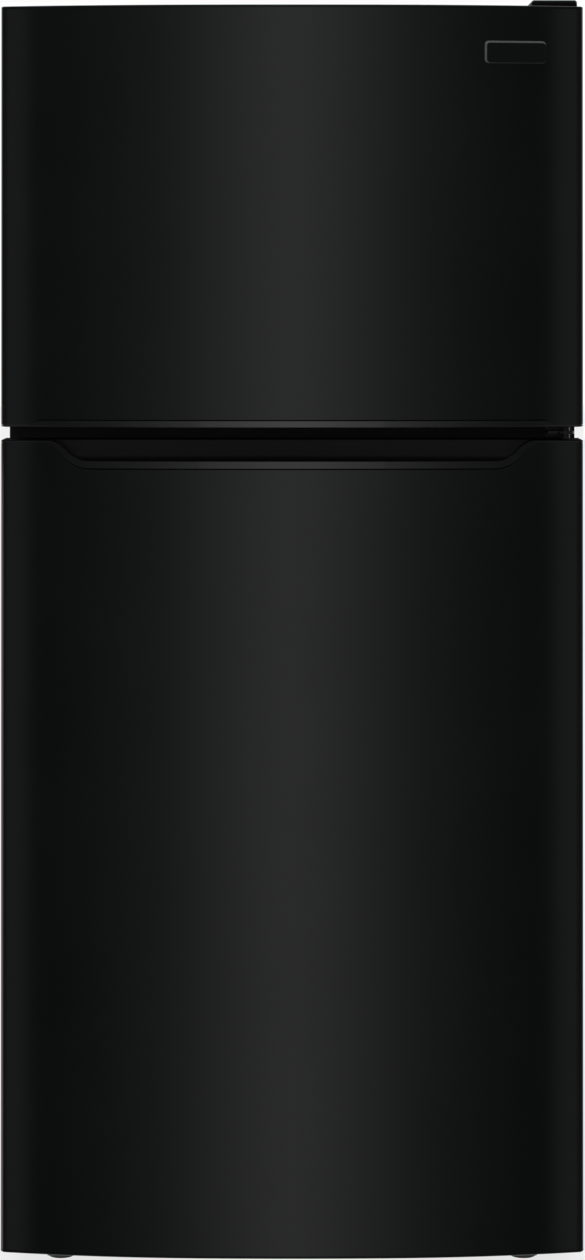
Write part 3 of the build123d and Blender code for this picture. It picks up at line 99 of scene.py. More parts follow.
def vary_colour(tree, shader, value, dark, light, start=0.3, end=0.7):
    """Runs the base colour from dark to light along a texture's value, between start and end."""
    ramp = tree.nodes.new("ShaderNodeValToRGB")
    for stop, position, colour in zip(ramp.color_ramp.elements, (start, end), (dark, light)):
        stop.position = position
        stop.color = (*colour, 1.0)
    tree.links.new(value, ramp.inputs["Fac"])
    tree.links.new(ramp.outputs["Color"], shader.inputs["Base Color"])


def vary_roughness(tree, shader, value, low, high):
    """Runs the roughness from low to high along a texture's value."""
    spread = tree.nodes.new("ShaderNodeMapRange")
    spread.inputs["To Min"].default_value = low
    spread.inputs["To Max"].default_value = high
    tree.links.new(value, spread.inputs["Value"])
    tree.links.new(spread.outputs["Result"], shader.inputs["Roughness"])


def add_bump(tree, shader, value, strength, depth):
    """Raises the surface along a texture's value, depth in millimetres."""
    bump = tree.nodes.new("ShaderNodeBump")
    bump.inputs["Strength"].default_value = strength
    bump.inputs["Distance"].default_value = depth * MM
    tree.links.new(value, bump.inputs["Height"])
    tree.links.new(bump.outputs["Normal"], shader.inputs["Normal"])


# Materials

def new_material(name, colour, roughness, metallic=0.0):
    """A material with its Principled shader set to one plain finish, for the textures to work on."""
    material = bpy.data.materials.new(name)
    material.use_nodes = True
    shader = material.node_tree.nodes["Principled BSDF"]
    shader.inputs["Base Color"].default_value = (*colour, 1.0)
    shader.inputs["Roughness"].default_value = roughness
    shader.inputs["Metallic"].default_value = metallic
    return material, material.node_tree, shader


def shade(colour, factor):
    """A colour made darker or lighter by a factor, up to white."""
    return tuple(min(1.0, channel * factor) for channel in colour)


def moulded(name, colour, roughness, grain, depth=0.05, tint=0.08, gloss=0.5):
    """Moulded or painted surface: faint mottling, uneven gloss and a fine grain."""
    material, tree, shader = new_material(name, colour, roughness)
    shader.inputs["Specular IOR Level"].default_value = gloss
    clouds = texture(tree, NOISE, scale=6.0, Detail=5.0).outputs["Fac"]
    vary_colour(tree, shader, clouds, dark=shade(colour, 1 - tint), light=shade(colour, 1 + tint))
    smears = texture(tree, NOISE, scale=22.0, Detail=6.0, Roughness=0.65).outputs["Fac"]
    vary_roughness(tree, shader, smears, low=roughness * 0.88, high=roughness * 1.12)
    skin = texture(tree, NOISE, scale=grain, Detail=2.0).outputs["Fac"]
    add_bump(tree, shader, skin, strength=0.35, depth=depth)
    return material


def matt_beyond(material, axis, limit, roughness, gloss):
    """Turns a moulding matt beyond a limit along an axis, where the tool wasn't polished."""
    tree = material.node_tree
    shader = tree.nodes["Principled BSDF"]
    beyond = math_node(tree, "GREATER_THAN", object_axes(tree)[axis], limit)
    for socket, value in (("Roughness", roughness), ("Specular IOR Level", gloss)):
        before = shader.inputs[socket]
        blend = tree.nodes.new("ShaderNodeMix")
        blend.inputs["A"].default_value = before.default_value
        blend.inputs["B"].default_value = value
        tree.links.new(beyond, blend.inputs["Factor"])
        if before.is_linked:
            tree.links.new(before.links[0].from_socket, blend.inputs["A"])
        tree.links.new(blend.outputs["Result"], before)


def pebbled(name, colour, roughness, gloss, pebble=420.0, depth=0.12):
    """Coil-coated steel sheet with a leathery pebble rolled into it."""
    material, tree, shader = new_material(name, colour, roughness)
    shader.inputs["Specular IOR Level"].default_value = gloss
    clouds = texture(tree, NOISE, scale=4.0, Detail=4.0).outputs["Fac"]
    vary_colour(tree, shader, clouds, dark=shade(colour, 0.9), light=shade(colour, 1.1))
    cells = texture(tree, CELLS, scale=pebble)
    cells.feature = "SMOOTH_F1"
    add_bump(tree, shader, cells.outputs["Distance"], strength=0.4, depth=depth)
    wear = texture(tree, NOISE, scale=15.0, Detail=6.0).outputs["Fac"]
    vary_roughness(tree, shader, wear, low=roughness * 0.85, high=roughness * 1.15)
    return material


def spangled(name, colour, roughness, spangle=230.0):
    """Zinc-coated steel, with the crystal spangle of hot-dip galvanising."""
    material, tree, shader = new_material(name, colour, roughness, metallic=1.0)
    crystals = texture(tree, CELLS, scale=spangle)
    crystals.distance = "MANHATTAN"
    tone = crystals.outputs["Color"]
    vary_colour(tree, shader, tone, dark=shade(colour, 0.93), light=shade(colour, 1.05))
    vary_roughness(tree, shader, tone, low=roughness * 0.9, high=roughness * 1.1)
    rolled = texture(tree, NOISE, scale=260.0, Detail=3.0).outputs["Fac"]
    add_bump(tree, shader, rolled, strength=0.2, depth=0.04)
    return material


def drawn_metal(name, colour, roughness, stretch=(6.0, 420.0, 420.0)):
    """Metal with fine draw lines along X."""
    material, tree, shader = new_material(name, colour, roughness, metallic=1.0)
    lines = texture(tree, NOISE, scale=1.0, stretch=stretch, Detail=4.0).outputs["Fac"]
    vary_colour(tree, shader, lines, dark=shade(colour, 0.85), light=shade(colour, 1.08))
    vary_roughness(tree, shader, lines, low=roughness * 0.8, high=roughness * 1.2)
    add_bump(tree, shader, lines, strength=0.25, depth=0.02)
    return material


def clear(name, colour, roughness, ior, flow=30.0, depth=0.02, transmission=1.0):
    """Glass or clear plastic, with the faint flow marks that moulding or rolling leaves."""
    material, tree, shader = new_material(name, colour, roughness)
    shader.inputs["Transmission Weight"].default_value = transmission
    shader.inputs["IOR"].default_value = ior
    marks = texture(tree, NOISE, scale=flow, Detail=3.0).outputs["Fac"]
    vary_colour(tree, shader, marks, dark=shade(colour, 0.97), light=shade(colour, 1.03))
    vary_roughness(tree, shader, marks, low=roughness * 0.6, high=roughness * 1.4)
    add_bump(tree, shader, marks, strength=0.15, depth=depth)
    return material


def foamed(name, colour):
    """Sawn polyurethane foam, full of small cells."""
    material, tree, shader = new_material(name, colour, roughness=0.9)
    cells = texture(tree, CELLS, scale=700.0).outputs["Distance"]
    vary_colour(tree, shader, cells, dark=shade(colour, 0.7), light=colour)
    add_bump(tree, shader, cells, strength=0.8, depth=0.6)
    return material


def rubbery(name, colour):
    """Extruded rubber: matt, with a little dust."""
    material, tree, shader = new_material(name, colour, roughness=0.62)
    dust = texture(tree, NOISE, scale=55.0, Detail=8.0, Roughness=0.7).outputs["Fac"]
    vary_colour(tree, shader, dust, dark=colour, light=shade(colour, 1.5))
    vary_roughness(tree, shader, dust, low=0.5, high=0.72)
    add_bump(tree, shader, dust, strength=0.2, depth=0.08)
    return material


trim_tone = (0.0034, 0.0040, 0.0036)
door_paint = moulded("door_paint", (0.0035, 0.0044, 0.0039), 0.1, grain=330.0, depth=0.01, tint=0.1)
door_trim = moulded("door_trim", trim_tone, 0.13, grain=520.0, depth=0.02, tint=0.1, gloss=1.0)
pocket_trim = moulded("pocket_trim", trim_tone, 0.13, grain=520.0, depth=0.02, tint=0.1, gloss=1.0)
cap_trim = moulded("cap_trim", trim_tone, 0.24, grain=520.0, depth=0.03, tint=0.1, gloss=0.35)
cover_black = moulded("cover_black", (0.0039, 0.0040, 0.0040), 0.5, grain=700.0, gloss=0.1)
# Near-black matt colour of the painted shade in the seams between the door skins and their caps
seam_painted_shade = moulded("seam_painted_shade", (0.0010, 0.0011, 0.0011), 0.85, grain=700.0, gloss=0.1)
case_paint = pebbled("case_paint", (0.0072, 0.0076, 0.0076), 0.45, gloss=0.22)
grained_black = moulded("grained_black", (0.012, 0.012, 0.0125), 0.5, grain=700.0, depth=0.12)
liner_white = moulded("liner_white", (0.80, 0.81, 0.81), 0.3, grain=420.0, depth=0.03, tint=0.02)
trim_white = moulded("trim_white", (0.84, 0.85, 0.85), 0.36, grain=700.0, tint=0.02)
wire_white = moulded("wire_white", (0.82, 0.83, 0.83), 0.3, grain=260.0, depth=0.04, tint=0.03)
knob_grey = moulded("knob_grey", (0.42, 0.44, 0.45), 0.4, grain=800.0, depth=0.06)
fan_grey = moulded("fan_grey", (0.10, 0.105, 0.11), 0.45, grain=800.0, depth=0.06)
mark_grey = moulded("mark_grey", (0.05, 0.06, 0.08), 0.5, grain=900.0, depth=0.03)
plate_black = moulded("plate_black", (0.0037, 0.0040, 0.0041), 0.22, grain=300.0, depth=0.01, gloss=0.35)
# Lighter grey of the plate's edge: partly its own satin tone, partly a painted highlight for the sheen of
# its bevel
plate_edge_and_sheen = moulded("plate_edge_and_sheen", (0.068, 0.069, 0.070), 0.4, grain=300.0, depth=0.02, gloss=0.4)
machine_paint = moulded("machine_paint", (0.012, 0.012, 0.012), 0.34, grain=180.0, depth=0.08, tint=0.2)
board_grey = moulded("board_grey", (0.22, 0.22, 0.21), 0.75, grain=1500.0, depth=0.15, tint=0.12)
tray_grey = moulded("tray_grey", (0.09, 0.09, 0.09), 0.5, grain=600.0, depth=0.08)
zinc = spangled("zinc", (0.40, 0.41, 0.42), 0.48)
dull_zinc = spangled("dull_zinc", (0.13, 0.132, 0.135), 0.55)
bright_zinc = drawn_metal("bright_zinc", (0.66, 0.66, 0.68), 0.3)
aluminium = drawn_metal("aluminium", (0.78, 0.79, 0.80), 0.28)
shelf_glass = clear("shelf_glass", (0.94, 0.985, 0.965), 0.02, ior=1.5)
clear_plastic = clear("clear_plastic", (0.965, 0.98, 0.985), 0.08, ior=1.46, flow=18.0, depth=0.05,
                      transmission=0.92)
lens_plastic = clear("lens_plastic", (0.93, 0.93, 0.92), 0.45, ior=1.46, flow=160.0, depth=0.2,
                     transmission=0.8)
lamp_glass = clear("lamp_glass", (0.95, 0.94, 0.92), 0.3, ior=1.5)
foam = foamed("foam", (0.80, 0.72, 0.48))
gasket_rubber = rubbery("gasket_rubber", (0.018, 0.018, 0.019))

# Clear coat on the finger lip; the pocket's moulding is matt in its depth and on its top
lip_shader = door_trim.node_tree.nodes["Principled BSDF"]
lip_shader.inputs["Coat Weight"].default_value = 0.7
lip_shader.inputs["Coat Roughness"].default_value = 0.13
pocket_depth, pocket_top = -0.346, 1.0988
matt_beyond(pocket_trim, "Y", pocket_depth, roughness=0.55, gloss=0.55)
matt_beyond(pocket_trim, "Z", pocket_top, roughness=0.8, gloss=0.02)


# Shapes in mesh code, with sizes in millimetres as the solids have them

half_door = 381.0
door_nose = -385.75
door_back = -298.25
door_bow = 27.0
bow_flat = 120.0
bow_flat_sag = 1.35
door_corner = 8.0
hem_bend = 2.5
hem_width = 16.0
sheet = 1.5
cap_lid = 3.3
freezer_low, freezer_high = 1117.0, 1667.0
fresh_low, fresh_high = 40.0, 1100.0
middle_steps, side_steps, corner_steps, hem_steps = 24, 72, 12, 6
edge_width, edge_segments, edge_angle = 0.5, 3, 50.0


def new_object(name, mesh, material):
    """A named object of a bmesh, with one material, linked to the scene."""
    data = bpy.data.meshes.new(name)
    mesh.to_mesh(data)
    mesh.free()
    data.materials.append(material)
    piece = bpy.data.objects.new(name, data)
    bpy.context.scene.collection.objects.link(piece)
    return piece


def add_piece(name, mesh, material, body, sharp=35.0):
    """Adds a piece of the part, shaded smooth up to the sharp angle in degrees, riding on a body."""
    piece = new_object(name, mesh, material)
    faces = piece.data.polygons
    faces.foreach_set("use_smooth", [True] * len(faces))
    piece.data.set_sharp_from_angle(angle=math.radians(sharp))
    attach(piece, body)
    return piece


def turn(centre, radius, start, end, steps):
    """Points of an arc in plan whose heading turns from start to end, in radians from +X."""
    headings = [start + (end - start) * k / steps for k in range(steps + 1)]
    return [(centre[0] + radius * math.sin(a), centre[1] - radius * math.cos(a)) for a in headings]


def half_outline():
    """Right half of a door's outer face in plan, from the middle of the bow to the back hem."""
    middle_radius = (bow_flat ** 2 + bow_flat_sag ** 2) / (2 * bow_flat_sag)
    lead = math.asin(bow_flat / middle_radius)
    chord = Vector((half_door - bow_flat, door_bow - bow_flat_sag))
    chord_heading = math.atan2(chord.y, chord.x)
    radius = chord.length / (2 * math.sin(chord_heading - lead))
    centre = (bow_flat - radius * math.sin(lead), door_nose + bow_flat_sag + radius * math.cos(lead))
    corner_x = half_door - door_corner
    reach = radius - door_corner
    corner_y = centre[1] - math.sqrt(reach ** 2 - (corner_x - centre[0]) ** 2)
    entry = math.asin((corner_x - centre[0]) / reach)
    hem = (half_door - hem_bend, door_back - hem_bend)
    points = turn((0.0, door_nose + middle_radius), middle_radius, 0.0, lead, middle_steps)
    points += turn(centre, radius, lead, entry, side_steps)[1:]
    points += turn((corner_x, corner_y), door_corner, entry, math.pi / 2, corner_steps)[1:]
    points += turn(hem, hem_bend, math.pi / 2, math.pi, hem_steps)
    points.append((half_door - hem_bend - hem_width, door_back))
    return points


def both_halves(right):
    """A whole outline in plan, from its right half."""
    return [(-x, y) for x, y in reversed(right[1:])] + right


def join_columns(mesh, columns):
    """Faces between neighbouring columns of points, which run upwards."""
    for left, right in zip(columns, columns[1:]):
        for k in range(len(left) - 1):
            mesh.faces.new((left[k], right[k], right[k + 1], left[k + 1]))


def scoop_height(x, flat, end, low, high):
    """Height of a scooped edge at x: level at low up to flat, then an ogee of two arcs to level at high."""
    across, rise = (end - flat) / 2, (high - low) / 2
    radius = (across ** 2 + rise ** 2) / (2 * abs(rise))
    past = min(max(abs(x) - flat, 0.0), 2 * across)
    off = min(past, 2 * across - past)
    climb = math.copysign(radius - math.sqrt(radius ** 2 - off ** 2), rise)
    return low + climb if past <= across else high - climb


def door_skin(name, body, node, low_edge, high_edge):
    """Painted steel wrap of a door: a smooth bow, rounded corners, hemmed back edges and scooped ends."""
    mesh = bmesh.new()
    columns = []
    for x, y in both_halves(half_outline()):
        along = x if y < door_nose + door_bow else half_door
        ends = (low_edge(along), high_edge(along))
        columns.append([mesh.verts.new((x * MM, y * MM, z * MM)) for z in ends])
    join_columns(mesh, columns)
    skin = add_piece(name, mesh, door_paint, body)
    fold = skin.modifiers.new("fold", "SOLIDIFY")
    fold.thickness = sheet * MM
    fold.offset = -1.0
    edge = skin.modifiers.new("edge", "BEVEL")
    edge.width = edge_width * MM
    edge.segments = edge_segments
    edge.angle_limit = math.radians(edge_angle)
    edge.harden_normals = True
    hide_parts(node)


lip_flat, lip_end, lip_band = 328.0, 345.0, 10.0
rim_flat, rim_end, rim_edge = 265.0, 334.0, 37.6
crest = 2.3


def lip_edge(x):
    """Lower edge of the freezer door's skin, raised over the finger lip."""
    scoop = scoop_height(x, lip_flat, lip_end, freezer_low + lip_band, freezer_low + crest)
    return max(scoop, freezer_low + cap_lid)


def handle_edge(x):
    """Upper edge of the fresh-food door's skin, dipped under the pocket handle."""
    scoop = scoop_height(x, rim_flat, rim_end, fresh_high - rim_edge, fresh_high - crest)
    return min(scoop, fresh_high - cap_lid)


door_skin("freezer_door_front", "freezer_door", "freezer_door_skin",
          lip_edge, lambda x: freezer_high - cap_lid)
door_skin("fresh_door_front", "fresh_food_door", "fresh_door_skin",
          lambda x: fresh_low + cap_lid, handle_edge)


def seam(name, body, edge, below, above, depth=0.9):
    """Sheet of painted shade at the bottom of the seam between a door's skin and its cap, following the
    skin's edge.
    """
    right = [(x, y) for x, y in half_outline() if y < door_nose + door_bow and x < rim_end]
    mesh = bmesh.new()
    columns = []
    for x, y in both_halves(right):
        ends = (edge(x) - below, edge(x) + above)
        columns.append([mesh.verts.new((x * MM, (y + depth) * MM, z * MM)) for z in ends])
    join_columns(mesh, columns)
    add_piece(name, mesh, seam_painted_shade, body)


# Painted shade in the seams over the freezer door's finger lip and under the fresh-food door's handle
seam("freezer_door_seam_shade", "freezer_door", lip_edge, below=1.5, above=0.6)
seam("fresh_door_seam_shade", "fresh_food_door", handle_edge, below=0.6, above=1.7)


def front_at(x):
    """Depth of the doors' bowed front at x, with its heading there."""
    points = half_outline()
    before, after = next((a, b) for a, b in zip(points, points[1:]) if b[0] >= abs(x))
    share = (abs(x) - before[0]) / (after[0] - before[0])
    heading = math.atan2(after[1] - before[1], after[0] - before[0])
    return before[1] + share * (after[1] - before[1]), math.copysign(heading, x)


def rounded_ring(width, height, radius, steps=8):
    """Points round a rounded rectangle centred on the origin, anticlockwise."""
    points = []
    for k, (sx, sy) in enumerate(((1, 1), (-1, 1), (-1, -1), (1, -1))):
        for step in range(steps + 1):
            angle = math.radians(90 * k + 90 * step / steps)
            points.append((sx * (width / 2 - radius) + radius * math.cos(angle),
                           sy * (height / 2 - radius) + radius * math.sin(angle)))
    return points


def circle_ring(radius, rise, sides):
    """Points round a circle at a height, anticlockwise."""
    angles = [math.tau * k / sides for k in range(sides)]
    return [(radius * math.cos(angle), radius * math.sin(angle), rise) for angle in angles]


def stacked(mesh, rings, matrix):
    """Skins a stack of equal rings of points (x, y, z in millimetres) and closes its two ends."""
    loops = [[mesh.verts.new(matrix @ Vector(p) * MM) for p in ring] for ring in rings]
    for lower, upper in zip(loops, loops[1:]):
        for k in range(len(lower)):
            following = (k + 1) % len(lower)
            mesh.faces.new((lower[k], lower[following], upper[following], upper[k]))
    mesh.faces.new(loops[-1])
    mesh.faces.new(list(reversed(loops[0])))


def facing_matrix(x, y, z, heading=0.0):
    """Local x along the door, y up and z out of its front, at a point in millimetres."""
    turn_to_front = Matrix.Rotation(heading, 4, "Z") @ Matrix.Rotation(math.radians(90), 4, "X")
    return Matrix.Translation((x, y, z)) @ turn_to_front


def standing_matrix(x, y, z, axis):
    """Local z along an axis, at a point in millimetres."""
    turn_to_axis = Vector(UPWARD).rotation_difference(Vector(axis)).to_matrix().to_4x4()
    return Matrix.Translation((x, y, z)) @ turn_to_axis


# Plate in the upper corner of the freezer door, left bare: a satin edge, wider at the top and left, round a
# polished field. The edge's lighter grey is partly its own tone and partly a painted highlight for the
# sheen of its bevel, and its extra width at the top and left spreads that painted highlight where the light
# falls. Each step is a ring's inset, its rise and its shift to the lower right.
plate_x, plate_z = 291.0, 1606.0
plate_width, plate_height, plate_corner, plate_least_corner = 81.0, 29.0, 5.0, 1.5
plate_steps = ((0.0, -1.0, 0.0), (0.0, 0.3, 0.0), (0.4, 0.8, 0.1),
               (1.5, 1.6, 1.0), (1.7, 1.65, 1.0), (2.0, 1.65, 1.0))
plate_field = 0.97
plate_y, plate_heading = front_at(plate_x)
plate_mesh = bmesh.new()
plate_rings = []
for inset, rise, aside in plate_steps:
    outline = rounded_ring(plate_width - 2 * inset, plate_height - 2 * inset,
                           max(plate_corner - inset, plate_least_corner))
    plate_rings.append([(px + aside, py - aside, rise) for px, py in outline])
stacked(plate_mesh, plate_rings, facing_matrix(plate_x, plate_y, plate_z, plate_heading))
plate = add_piece("bare_plate", plate_mesh, plate_edge_and_sheen, "freezer_door", sharp=24.0)
plate.data.materials.append(plate_black)
outward = Vector((math.sin(plate_heading), -math.cos(plate_heading), 0.0))
for face in plate.data.polygons:
    face.material_index = int(face.normal.dot(outward) > plate_field)


# Hinge cover: a thin moulded shell whose top falls a little towards the front, open underneath. Each step
# is a ring's inset and its drop below the top.
cover_low, cover_high = (Vector(corner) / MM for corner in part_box("top_hinge_cover"))
cover_middle, cover_size = (cover_low + cover_high) / 2, cover_high - cover_low
cover_fall, cover_wall, cover_corner = 2.6, 1.8, 5.0
cover_steps = ((0.0, 3.6), (0.3, 2.3), (1.0, 1.1), (2.1, 0.35), (3.6, 0.0))
cover_mesh = bmesh.new()
cover_plan = [rounded_ring(cover_size.x - 2 * inset, cover_size.y - 2 * inset, cover_corner - inset)
              for inset, _ in cover_steps]
cover_rings = [[(x, y, -cover_size.z) for x, y in cover_plan[0]]]
cover_rings += [[(x, y, cover_fall * (y / cover_size.y - 0.5) - drop) for x, y in plan]
                for plan, (_, drop) in zip(cover_plan, cover_steps)]
stacked(cover_mesh, cover_rings, Matrix.Translation((cover_middle.x, cover_middle.y, cover_high.z)))
cover_mesh.faces.ensure_lookup_table()
bmesh.ops.delete(cover_mesh, geom=[cover_mesh.faces[-1]], context="FACES_ONLY")
hinge_shell = add_piece("top_hinge_shell", cover_mesh, cover_black, "cabinet", sharp=50.0)
shell_wall = hinge_shell.modifiers.new("wall", "SOLIDIFY")
shell_wall.thickness = cover_wall * MM
shell_wall.offset = -1.0
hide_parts("top_hinge_cover")


# Screw heads and dial dots, whose profiles give radius and height as shares of the whole. The cross recess
# of a screw has its sizes as shares of the head's radius.
screw_sides, disc_sides = 24, 20
screw_profile = ((1.0, 0.0), (1.0, 0.18), (0.92, 0.34), (0.74, 0.46), (0.5, 0.52))
disc_profile = ((1.0, 0.0), (1.0, 0.6), (0.85, 1.0))
recess_arm, recess_waist, recess_floor, recess_taper = 0.5, 0.169, 0.26, 0.92
recess_spread = math.radians(10)


def screw(mesh, x, y, z, axis, radius=4.0):
    """Pan-head screw with a cross recess, its head standing along axis from a point in millimetres."""
    rings = [circle_ring(radius * share, radius * rise, screw_sides) for share, rise in screw_profile]
    crown = rings[-1][0][2]
    cross = []
    for k in range(screw_sides):
        angle = math.tau * k / screw_sides
        off_arm = abs((angle + math.pi / 4) % (math.pi / 2) - math.pi / 4)
        reach = radius * (recess_arm if off_arm < recess_spread else recess_waist)
        cross.append((reach * math.cos(angle), reach * math.sin(angle), crown))
    bottom = [(recess_taper * px, recess_taper * py, recess_floor * radius) for px, py, _ in cross]
    stacked(mesh, rings + [cross, bottom], standing_matrix(x, y, z, axis))


def disc(mesh, x, y, z, axis, radius, height):
    """Low round button standing along axis from a point in millimetres, with a softened rim."""
    rings = [circle_ring(radius * share, height * rise, disc_sides) for share, rise in disc_profile]
    stacked(mesh, rings, standing_matrix(x, y, z, axis))


# Screws of the back panel and the machine cover
back_y, outer_x, inner_x = 381.75, 364.0, 130.0
panel_rows = [262.0 + 231.0 * step for step in range(7)]
machine_rows = (60.0, 224.0)
back_screws = bmesh.new()
for side in (-1, 1):
    for z in panel_rows:
        screw(back_screws, side * outer_x, back_y, z, BACKWARD)
    for z in machine_rows:
        for x in (outer_x, inner_x):
            screw(back_screws, side * x, back_y, z, BACKWARD)
    for z in (panel_rows[0], panel_rows[-1]):
        screw(back_screws, side * inner_x, back_y, z, BACKWARD)
add_piece("back_screws", back_screws, bright_zinc, "cabinet", sharp=30.0)

# Screws of the freezer's back wall and of the control housing
wall_x, wall_y, wall_rows = 306.0, 259.75, (1176.0, 1380.0, 1590.0)
housing_x, housing_y, housing_z = 168.0, -204.25, 1052.0
wall_screws = bmesh.new()
for side in (-1, 1):
    for z in wall_rows:
        screw(wall_screws, side * wall_x, wall_y, z, FORWARD)
    screw(wall_screws, side * housing_x, housing_y, housing_z, FORWARD, radius=3.2)
add_piece("wall_screws", wall_screws, trim_white, "cabinet", sharp=30.0)

# Dial dots over each temperature knob, larger towards cold, and the pointer line on its grip
knob_x, knob_z, grip_y = 95.0, 1051.0, -216.55
dot_count, dot_first, dot_pitch, dot_circle = 7, 150, 20, 15.4
dot_least, dot_growth, dot_height = 0.45, 0.07, 0.12
dial = bmesh.new()
for side in (-1, 1):
    for step in range(dot_count):
        angle = math.radians(dot_first - dot_pitch * step)
        x, z = side * knob_x + dot_circle * math.cos(angle), knob_z + dot_circle * math.sin(angle)
        disc(dial, x, housing_y, z, FORWARD, dot_least + dot_growth * step, dot_height)
add_piece("dial_dots", dial, mark_grey, "cabinet")

pointer_width, pointer_length, pointer_corner, pointer_up = 1.4, 7.0, 0.5, 7.5
pointer_steps = ((0.0, -0.3), (0.0, 0.1), (0.1, 0.15))
for side, body in ((-1, "fridge_temp_knob"), (1, "freezer_temp_knob")):
    pointer = bmesh.new()
    rings = []
    for inset, rise in pointer_steps:
        outline = rounded_ring(pointer_width - 2 * inset, pointer_length - 2 * inset, pointer_corner)
        rings.append([(px, py, rise) for px, py in outline])
    stacked(pointer, rings, facing_matrix(side * knob_x, grip_y, knob_z + pointer_up))
    add_piece(f"{body}_pointer", pointer, mark_grey, body)


# Finish of every CAD node that shows as it is

finishes = {
    case_paint: ["outer_case", "mullion_rail"],
    door_trim: ["freezer_door_bottom_cap"],
    cap_trim: ["freezer_door_top_cap", "fresh_door_bottom_cap"],
    pocket_trim: ["fresh_door_top_cap"],
    grained_black: ["toe_grille", "rear_roller_left", "rear_roller_right"],
    liner_white: ["freezer_liner", "fresh_food_liner", "freezer_door_liner", "fresh_door_liner",
                  "evaporator_cover"],
    trim_white: ["control_housing", "light_switch", "light_switch_plunger", "shelf_frames",
                 "humidity_slider_left", "humidity_slider_right"],
    knob_grey: ["fridge_temp_knob", "freezer_temp_knob"],
    clear_plastic: ["crisper_left", "crisper_right", "fresh_door_bins", "freezer_door_racks", "dairy_bin",
                    "dairy_lid"],
    lens_plastic: ["light_lens"],
    shelf_glass: ["shelf_glass"],
    lamp_glass: ["light_bulb"],
    gasket_rubber: ["freezer_door_gasket", "fresh_door_gasket", "compressor_grommets"],
    foam: ["cabinet_insulation", "freezer_door_insulation", "fresh_door_insulation"],
    zinc: ["back_panel"],
    dull_zinc: ["base_frame"],
    board_grey: ["machine_cover"],
    machine_paint: ["compressor", "condenser_coil", "condenser_fan_motor", "evaporator_fan_motor",
                    "center_hinge", "top_hinge", "bottom_hinge"],
    aluminium: ["evaporator_coil", "defrost_heater"],
    wire_white: ["freezer_shelf"],
    fan_grey: ["condenser_fan", "evaporator_fan"],
    tray_grey: ["drain_pan", "power_inlet", "leveling_leg_left", "leveling_leg_right"],
}
for finish, names in finishes.items():
    for name in names:
        nodes[name].data.materials.clear()
        nodes[name].data.materials.append(finish)


# Studio: pale floor, white surroundings, soft boxes and the dark drape that the front reflects, in metres

def add_stage(name, mesh, material):
    """Adds a piece of the studio, which isn't part of the object."""
    piece = new_object(name, mesh, material)
    return piece


def lift_for_camera(material, share):
    """Lifts a stage material towards white where the camera sees it, so that its shadows stay but pale."""
    tree = material.node_tree
    rays = tree.nodes.new("ShaderNodeLightPath")
    lift = math_node(tree, "MULTIPLY", rays.outputs["Is Camera Ray"], share)
    plain = tree.nodes["Principled BSDF"].outputs["BSDF"]
    lifted = tree.nodes.new("ShaderNodeEmission").outputs["Emission"]
    mix_surface(tree, lift, plain, lifted, "Material Output")


floor_size, floor_lift = 30.0, 0.75
floor_mesh = bmesh.new()
bmesh.ops.create_grid(floor_mesh, x_segments=1, y_segments=1, size=floor_size)
floor_white = moulded("floor_white", (0.86, 0.86, 0.86), 0.8, grain=60.0, tint=0.01)
floor = add_stage("floor", floor_mesh, floor_white)
floor.visible_glossy = False
lift_for_camera(floor_white, floor_lift)


def glowing_drape(name, middle, stops):
    """Emission that changes with the angle from the drape's middle, by stops of degrees and level."""
    material = bpy.data.materials.new(name)
    material.use_nodes = True
    material.cycles.emission_sampling = "NONE"
    tree = material.node_tree
    tree.nodes.remove(tree.nodes["Principled BSDF"])
    axes = object_axes(tree)
    ahead = math_node(tree, "MULTIPLY", axes["Y"], -1.0)
    bearing = math_node(tree, "ARCTAN2", axes["X"], ahead)
    off_middle = math_node(tree, "SUBTRACT", bearing, math.radians(middle))
    either_side = math_node(tree, "ABSOLUTE", off_middle)
    reach = stops[-1][0]
    spread = tree.nodes.new("ShaderNodeMapRange")
    spread.inputs["From Max"].default_value = math.radians(reach)
    tree.links.new(either_side, spread.inputs["Value"])
    ramp = tree.nodes.new("ShaderNodeValToRGB")
    ramp_stops = ramp.color_ramp.elements
    while len(ramp_stops) < len(stops):
        ramp_stops.new(1.0)
    for ramp_stop, (angle, level) in zip(ramp_stops, stops):
        ramp_stop.position = angle / reach
        ramp_stop.color = (level, level, level, 1.0)
    tree.links.new(spread.outputs["Result"], ramp.inputs["Fac"])
    emission = tree.nodes.new("ShaderNodeEmission")
    tree.links.new(ramp.outputs["Color"], emission.inputs["Color"])
    tree.links.new(emission.outputs["Emission"], tree.nodes["Material Output"].inputs["Surface"])
    return material


def reflected_screen(name, material, profile, start, end, steps):
    """Screen that only reflections see: a profile of radius and height, swept round in degrees from -Y."""
    mesh = bmesh.new()
    columns = []
    for step in range(steps + 1):
        angle = math.radians(start + (end - start) * step / steps)
        across, ahead = math.sin(angle), -math.cos(angle)
        columns.append([mesh.verts.new((radius * across, radius * ahead, z)) for radius, z in profile])
    join_columns(mesh, columns[::-1])
    screen = add_stage(name, mesh, material)
    for ray in ("camera", "diffuse", "transmission", "shadow", "volume_scatter"):
        setattr(screen, f"visible_{ray}", False)


# Dark drape closed above and below, with a soft glow down its middle and a pale strip to each side
drape_profile = ((1.5, -7.0), (6.5, -4.0), (6.5, 5.0), (1.5, 8.0))
drape_middle = -0.1
drape_stops = ((0.0, 0.55), (2.6, 0.4), (5.2, 0.23), (9.5, 0.135), (15.0, 0.065), (21.0, 0.02),
               (23.6, 0.006), (24.9, 0.17), (26.7, 0.17), (28.3, 0.07), (40.0, 0.05))
drape_glow = glowing_drape("drape_glow", drape_middle, drape_stops)
reflected_screen("drape", drape_glow, drape_profile, start=-100, end=100, steps=60)

